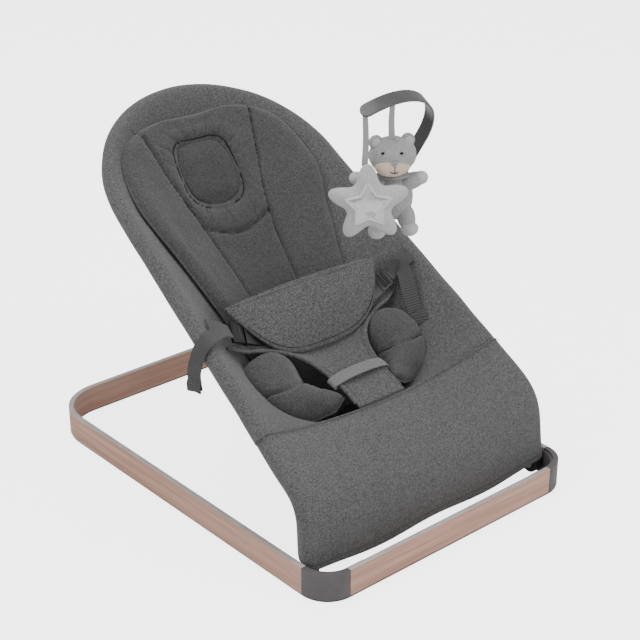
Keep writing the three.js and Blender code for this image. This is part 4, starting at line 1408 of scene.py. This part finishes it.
foot_row = [panel_place(k / 12, 0.0) + Vector((0, -0.3, 2.4)) for k in range(13)]
dress(stitches("crotch_stitches", foot_row, Vector((0, -0.5, 0.85)), thread), "seat", "cover_cloth")


# %% Flap
def flap_place(u, v):
    turn = 2 * u - 1
    reach = abs(turn)
    top = at(121 * turn, 286 - turn * turn, 255 - 5 * turn * turn)
    low = at(117 * turn, 237 + 43 * reach**4.5, 182 + 61 * reach**3)
    bulge = 6 * math.sin(math.pi * v) * (1 - turn * turn)
    return top.lerp(low, v) + Vector((0, -0.87, 0.5)) * bulge


flap = cloth_grid("harness_flap_cloth", 48, 26, flap_place, flap_cloth, (0.24, 0.09))
worked_by_hand(flap, 1.2, 0.045, 21.0)
thickened(flap, 4.4, 0)
dress(flap, "seat", "cover_cloth", "harness_flap")

FLAP_OUT = Vector((0, -0.87, 0.5))
low_edge = [flap_place(k / 60, 1) for k in range(61)]
side_up = [flap_place(1, 1 - k / 6) for k in range(1, 7)]
side_down = [flap_place(0, k / 6) for k in range(6)]
dress(cord_line("flap_edge", side_down + low_edge + side_up, 2.3, flap_cloth), "seat", "cover_cloth")
seam_row = [flap_place(k / 60, 0.95) + FLAP_OUT * 2.5 for k in range(3, 58)]
# Near-black cord along the flap's lower seam: painted shade of the seam line.
dress(cord_line("flap_seam", seam_row, 0.4, seam_shade_and_dark_thread), "seat", "cover_cloth")
hem_line = [flap_place(k / 40, 0.06) + FLAP_OUT * 2.4 for k in range(1, 40)]
dress(cord_line("flap_hem", hem_line, 0.3, thread), "seat", "cover_cloth")

# %% [markdown]
# ### Crotch keeper
#
# A lighter loop of cloth arches over the strip and goes under it at both sides. It is a closed
# band, so its section along the strip's width is a flattened ring.

# %% Crotch keeper
KEEPER_TURN = math.radians(14)
KEEPER_ALONG = Vector((0, math.cos(KEEPER_TURN), math.sin(KEEPER_TURN)))
KEEPER_UP = Vector((0, -math.sin(KEEPER_TURN), math.cos(KEEPER_TURN)))


def keeper_place(u, v):
    angle = 2 * math.pi * u
    c, s = math.cos(angle), math.sin(angle)
    x = 44.5 * math.copysign(abs(c) ** 0.7, c)
    height = 6.4 * abs(s) ** 0.7 if s > 0 else -3.6 * abs(s) ** 0.5
    arch = 3.2 * (1 - (x / 44.5) ** 2) if s > 0 else 0.0
    return at(x, 176, 161.5) + KEEPER_UP * (height + arch) + KEEPER_ALONG * (v - 0.5) * (15.0 + 1.5 * s)


keeper = cloth_grid("crotch_keeper_band", 64, 6, keeper_place, keeper_cloth, (0.18, 0.015))
outwards(keeper)
thickened(keeper, 1.5, 0)
dress(keeper, "seat", "keeper_cloth", "crotch_keeper")

# %% [markdown]
# ## Buckles and straps
#
# The buckles are solid mouldings, so their frame solids are copied and bevelled. The webbing is a
# flat strip swept through a few points, with its own UV map in metres for the ribs.

# %% Buckles
for side in SIDES:
    for part_name in ("buckle_socket", "buckle_ladder", "lower_prong", "upper_prong"):
        finish_copy(f"{part_name}_{side}", 0.7, buckle_plastic, segments=2)

buckle_out = Vector((0.913, -0.014, 0.407)).normalized()
buckle_across = Vector((0.1, -0.65, -0.75))
buckle_across = (buckle_across - buckle_out * buckle_across.dot(buckle_out)).normalized()
buckle_up = buckle_out.cross(buckle_across).normalized()
buckle_origin = at(112.3, 264.5, 220.7)


def on_buckle(x, y, z, sign=1):
    point = buckle_origin + buckle_out * x + buckle_across * y + buckle_up * z
    return Vector((point.x * sign, point.y, point.z))


def webbing_strip(name, points, across, width, finish, slot, body="seat", thickness=1.5, nodes=(), steps=6):
    """A flat strip through points; across gives its width direction at its start and end."""
    rows = steps * (len(points) - 1)
    length = sum((b - a).length for a, b in zip(points, points[1:]))

    def place(u, v):
        centre = through(points, v)
        ahead = through(points, min(v + 0.01, 1.0)) - through(points, max(v - 0.01, 0.0))
        ahead.normalize()
        side = across[0].lerp(across[1], v)
        side = (side - ahead * side.dot(ahead)).normalized()
        return centre + side * (u - 0.5) * width

    piece = cloth_grid(name, 6, rows, place, finish, (width * MM, length * MM))
    thickened(piece, thickness, 0)
    dress(piece, body, slot, *nodes)
    return piece


# %% Webbing
rail = incline_point(0.51)
tube_side = Vector((rail.x - TUNNEL - 1.0, rail.y, rail.z)) + SEAT_UP * 8
ladder_end = on_buckle(20, 0, 0)
for side, sign in zip(SIDES, (1, -1)):
    mirror = Vector((sign, 1, 1))
    line = [ladder_end, ladder_end.lerp(tube_side, 0.5) + SEAT_UP * 2, tube_side]
    line = [p * mirror for p in line]
    across = (RAIL_DIRECTION * mirror, RAIL_DIRECTION * mirror)
    nodes = (f"side_strap_{side}",)
    webbing_strip(f"side_webbing_{side}", line, across, 20, webbing_cloth, "webbing", nodes=nodes)
    loop = [on_buckle(13.8, 0, -3.2, sign), on_buckle(12.6, 0, 2.2, sign), on_buckle(10.2, 0, 3.4, sign)]
    loop += [on_buckle(7.8, 0, 2.2, sign), on_buckle(6.6, 0, -3.2, sign)]
    across = (on_buckle(0, 1, 0, sign) - on_buckle(0, 0, 0, sign),) * 2
    webbing_strip(f"ladder_webbing_{side}", loop, across, 19, webbing_cloth, "webbing", thickness=1.2)

left_tail = [(-134, 264, 231), (-150, 257, 239), (-166, 248, 243), (-182, 240, 244)]
left_tail += [(-193, 240, 237), (-199, 242, 221), (-201, 245, 204), (-200, 244, 183)]
left_tail = [at(*p) for p in left_tail]
across = (Vector((-0.05, 0.85, 0.52)), Vector((-0.25, 0.95, -0.1)))
webbing_strip("left_tail", left_tail, across, 20, webbing_cloth, "webbing", nodes=("strap_tail_left",))
fold = [at(-200.2, 244, 197), at(-202.6, 244.5, 190), at(-202.4, 244, 181.5), at(-200.2, 244, 181)]
webbing_strip("left_tail_fold", fold, (across[1], across[1]), 20.5, webbing_cloth, "webbing")

right_tail = [(134, 264, 232), (142, 258, 240), (146, 250, 236), (143, 240, 225)]
right_tail += [(140, 229, 208), (138, 217, 189), (138, 211, 177)]
right_tail = [at(*p) for p in right_tail]
across = (Vector((0.5, -0.8, -0.2)), Vector((0.85, -0.5, 0.15)))
webbing_strip("right_tail", right_tail, across, 20, webbing_cloth, "webbing", nodes=("strap_tail_right",))
fold = [at(138.6, 215, 191), at(139, 211.5, 187.5), at(138.6, 208, 179), at(137.4, 208.5, 174.5)]
webbing_strip("right_tail_fold", fold, (across[1], across[1]), 20.5, webbing_cloth, "webbing")
print("harness done")

# %% [markdown]
# ## The toy bar
#
# A flat arch rises from a clip on the right tube and reaches over the seat. Its end is rounded,
# which a plain strip can't give, so the strip is swept with a width that closes in a half circle.

# %% Toy bar
clip = incline_point(0.724)
BAR_UP = Vector((0, -math.sin(INCLINE), math.cos(INCLINE)))
BAR_DOWN = Vector((0, -math.cos(INCLINE), -math.sin(INCLINE)))
BAR_STRAIGHT, BAR_RADIUS, BAR_SWEEP = 151.0, 98.0, math.radians(120)
BAR_FOOT = 20.0
BAR_WIDTH = 18.0


def bar_local(x, y, z):
    return clip + Vector((x, 0, 0)) + BAR_UP * y + BAR_DOWN * z


def bar_line(distance):
    """Middle line of the bar: straight, then round; gives across-seat and height."""
    straight = BAR_STRAIGHT - BAR_FOOT
    if distance < straight:
        return 0.0, BAR_FOOT + distance
    angle = (distance - straight) / BAR_RADIUS
    return BAR_RADIUS * (math.cos(angle) - 1), BAR_STRAIGHT + BAR_RADIUS * math.sin(angle)


BAR_LENGTH = BAR_STRAIGHT - BAR_FOOT + BAR_RADIUS * BAR_SWEEP


def bar_place(u, v):
    distance = BAR_LENGTH * v
    x, y = bar_line(distance)
    left = BAR_LENGTH - distance
    half = BAR_WIDTH / 2
    if left < half:
        half *= math.sqrt(max(1 - (1 - left / half) ** 2, 0.0004))
    return bar_local(x, y, (2 * u - 1) * half)


bar = cloth_grid("toy_bar_arch", 8, 120, lambda u, v: bar_place(u, 1 - (1 - v) ** 1.6), bar_plastic)
thickened(bar, 2.4, 0)
soften = bar.modifiers.new("soft edges", "BEVEL")
soften.width, soften.segments, soften.limit_method = 0.8 * MM, 2, "ANGLE"
settle(bar)
dress(bar, "toy_bar", "bar_plastic", "toy_bar")
finish_copy("toy_bar_clip", 1.2, buckle_plastic, segments=3)
finish_copy("toy_bar_rivet", 0.4, frame_steel)


def bar_point(x):
    run = x - clip.x + BAR_RADIUS
    return bar_local(x - clip.x, BAR_STRAIGHT + math.sqrt(BAR_RADIUS**2 - run * run), 0)


# %% [markdown]
# ### The hanging star
#
# The star is a soft plush with round points, so it is a star-shaped disc whose radius swings
# between a long and a short value, closed over front and back. A small foil star sits on its
# face and a white satin piping goes round the foil.

# %% Star
STAR_CENTRE = bar_point(33) + Vector((0, -8, -114))
STAR_TURN = Matrix.Rotation(math.radians(-42), 3, "Z")
STAR_LEAN = math.radians(3)


def star_radius(angle, reach, inner, sharpness):
    swing = (1 + math.cos(5 * (angle - math.pi / 2 - STAR_LEAN))) / 2
    return inner + (reach - inner) * swing**sharpness


def star_local(x, y, z):
    return STAR_CENTRE + STAR_TURN @ Vector((x, y, z))


def star_place(u, v):
    angle = 2 * math.pi * u
    ring = math.sin(math.pi * v)
    radius = star_radius(angle, 50.5, 29.0, 1.35) * ring
    puff = 9.5 * math.copysign((1 - ring**2.6) ** 0.55, 0.5 - v)
    dimple = 1.3 * noise.noise(Vector((radius * math.cos(angle), radius * math.sin(angle), 9)) / 17)
    return star_local(radius * math.cos(angle), -puff + dimple, radius * math.sin(angle))


star = cloth_grid("star_soft", 150, 44, star_place, pale_plush, (0.1, 0.1))
outwards(star)
dress(star, "star", "plush", "star_plush")


def star_outline(reach, inner, y, steps=10):
    corners = []
    for k in range(10):
        angle = math.pi / 2 + STAR_LEAN + k * math.pi / 5
        radius = inner if k % 2 else reach
        corners.append(Vector((radius * math.cos(angle), y, radius * math.sin(angle))))
    line = []
    for a, b in zip(corners, corners[1:] + corners[:1]):
        line += [a.lerp(b, k / steps) for k in range(steps)]
    return line


def foil_place(u, v):
    outline = star_outline(27.0, 14.6, 0.0)
    edge = outline[round(u * 100) % 100]
    ring = math.sin(math.pi * v)
    return star_local(edge.x * ring, -9.3 - 0.7 * math.copysign(1 - ring**8, 0.5 - v), edge.z * ring)


foil = cloth_grid("star_foil", 100, 12, foil_place, mirror_foil)
outwards(foil)
dress(foil, "star", "mirror_foil", "star_mirror")
piping_points = [star_local(p.x, p.y, p.z) for p in star_outline(29.0, 15.8, -9.2, 6)]
dress(cord_line("star_piping", piping_points, 1.5, white_satin, closed=True), "star", "plush")

# %% [markdown]
# ### The hanging bear
#
# A small plush bear in a sleeping cap: grey all over, with a pale face set into the cap. Each
# limb is a soft ellipsoid, roughened a little so that it doesn't read as a perfect ball.

# %% Bear
BEAR_ORIGIN = bar_point(72) + Vector((0, 8, -46))
BEAR_TURN = Matrix.Rotation(math.radians(-28), 3, "Z")


def bear_local(x, y, z):
    return BEAR_ORIGIN + BEAR_TURN @ Vector((x, y, z))


def plush_ball(name, radii, centre, finish, slot="plush", lean=0.0, rough=0.5, nodes=()):
    bpy.ops.object.select_all(action="DESELECT")
    bpy.ops.mesh.primitive_uv_sphere_add(segments=40, ring_count=24, radius=1)
    piece = bpy.context.object
    piece.name = piece.data.name = name
    tilt = Matrix.Rotation(math.radians(lean), 3, "Y")
    for vertex in piece.data.vertices:
        co = vertex.co
        local = tilt @ Vector((co.x * radii[0], co.y * radii[1], co.z * radii[2]))
        local *= 1 + rough * 0.08 * noise.noise(co * 1.7 + Vector(centre) * 0.13)
        vertex.co = bear_local(*(local + Vector(centre))) * MM
    piece.data.materials.append(finish)
    dress(piece, "bear", slot, *nodes)
    return piece


plush_ball("bear_trunk", (25, 19, 31), (10, 4, -82), grey_plush, nodes=("bear_plush",))
plush_ball("bear_head", (29.5, 24, 23.5), (7, 0, -27), grey_plush)
plush_ball("bear_face", (22, 15, 12.5), (3.5, -12.5, -37), muzzle_plush)
for sign in (-1, 1):
    plush_ball(f"bear_ear_{sign}", (9, 5.5, 9), (6 + sign * 20, 1, -9.5), grey_plush, lean=sign * 15)
    plush_ball(f"bear_ear_lining_{sign}", (5.6, 3, 5.6), (6 + sign * 20, -3.4, -9.5), pale_plush)
    plush_ball(f"bear_leg_{sign}", (11.5, 13, 19), (8 + sign * 17, -3, -108), grey_plush, lean=-sign * 14)
    plush_ball(f"bear_foot_{sign}", (11, 11, 9.5), (7 + sign * 21, -10, -121), pale_plush)
plush_ball("bear_arm_right", (17, 10, 10.5), (31, -4, -61), grey_plush, lean=-18)
plush_ball("bear_arm_left", (19, 9.5, 9.5), (-18, 0, -58), grey_plush, lean=10)
plush_ball("bear_paw_left", (9, 8, 8), (-38, 0, -53), pale_plush)
plush_ball("bear_paw_right", (9, 8, 8.5), (42, -6, -57), pale_plush)
# A flat darker disc at the neck: painted shade below the head.
plush_ball("bear_neck_shade", (21, 17, 4.5), (8, -1, -52), nose_and_neck_shade_plush)
plush_ball("bear_nose", (4.2, 2.2, 3.0), (2.5, -25.8, -29.5), nose_and_neck_shade_plush, rough=0)
for k, (x, y) in enumerate(((-10, -17.6), (12, -22.2))):
    plush_ball(f"bear_eye_{k}", (2.4, 1.2, 1.7), (x, y, -18), seam_shade_and_dark_thread, rough=0)

smile = [bear_local(2.5 + 5.5 * t, -27.9 + 1.3 * t * t, -41 + 2.2 * t * t) for t in (-1, -0.5, 0, 0.5, 1)]
dress(cord_line("bear_smile", smile, 0.45, seam_shade_and_dark_thread), "bear", "plush")
lip = [bear_local(2.5, -27.6, -32), bear_local(2.5, -28.2, -41)]
dress(cord_line("bear_lip", lip, 0.4, seam_shade_and_dark_thread), "bear", "plush")


# %% Ribbons
def hanging_ribbon(name, x, top_gap, drop, body, node, bulge):
    """A short tab stays on the bar; the ribbon hangs from its end and swings with the toy."""
    start = bar_point(x)
    top, foot = start - Vector((0, 0, top_gap)), start - Vector((0, 0, drop))
    middle = top.lerp(foot, 0.5) + Vector((bulge, 0, 0))
    across = (Vector((1, 0, 0)), Vector((1, -0.5, 0)))
    webbing_strip(name, [top, middle, foot], across, 8, ribbon_cloth, "ribbon", body, 0.8, (node,))
    tab = [start, start.lerp(top, 0.5), top + Vector((0, 0, 0.2))]
    webbing_strip(name + "_tab", tab, across[:1] * 2, 8, ribbon_cloth, "ribbon", "toy_bar", 1.2)


hanging_ribbon("star_hanger", 33, 6.5, 68, "star", "star_ribbon", 1.5)
hanging_ribbon("bear_hanger", 72, 5.0, 50, "bear", "bear_ribbon", -1.2)
print("toys done")
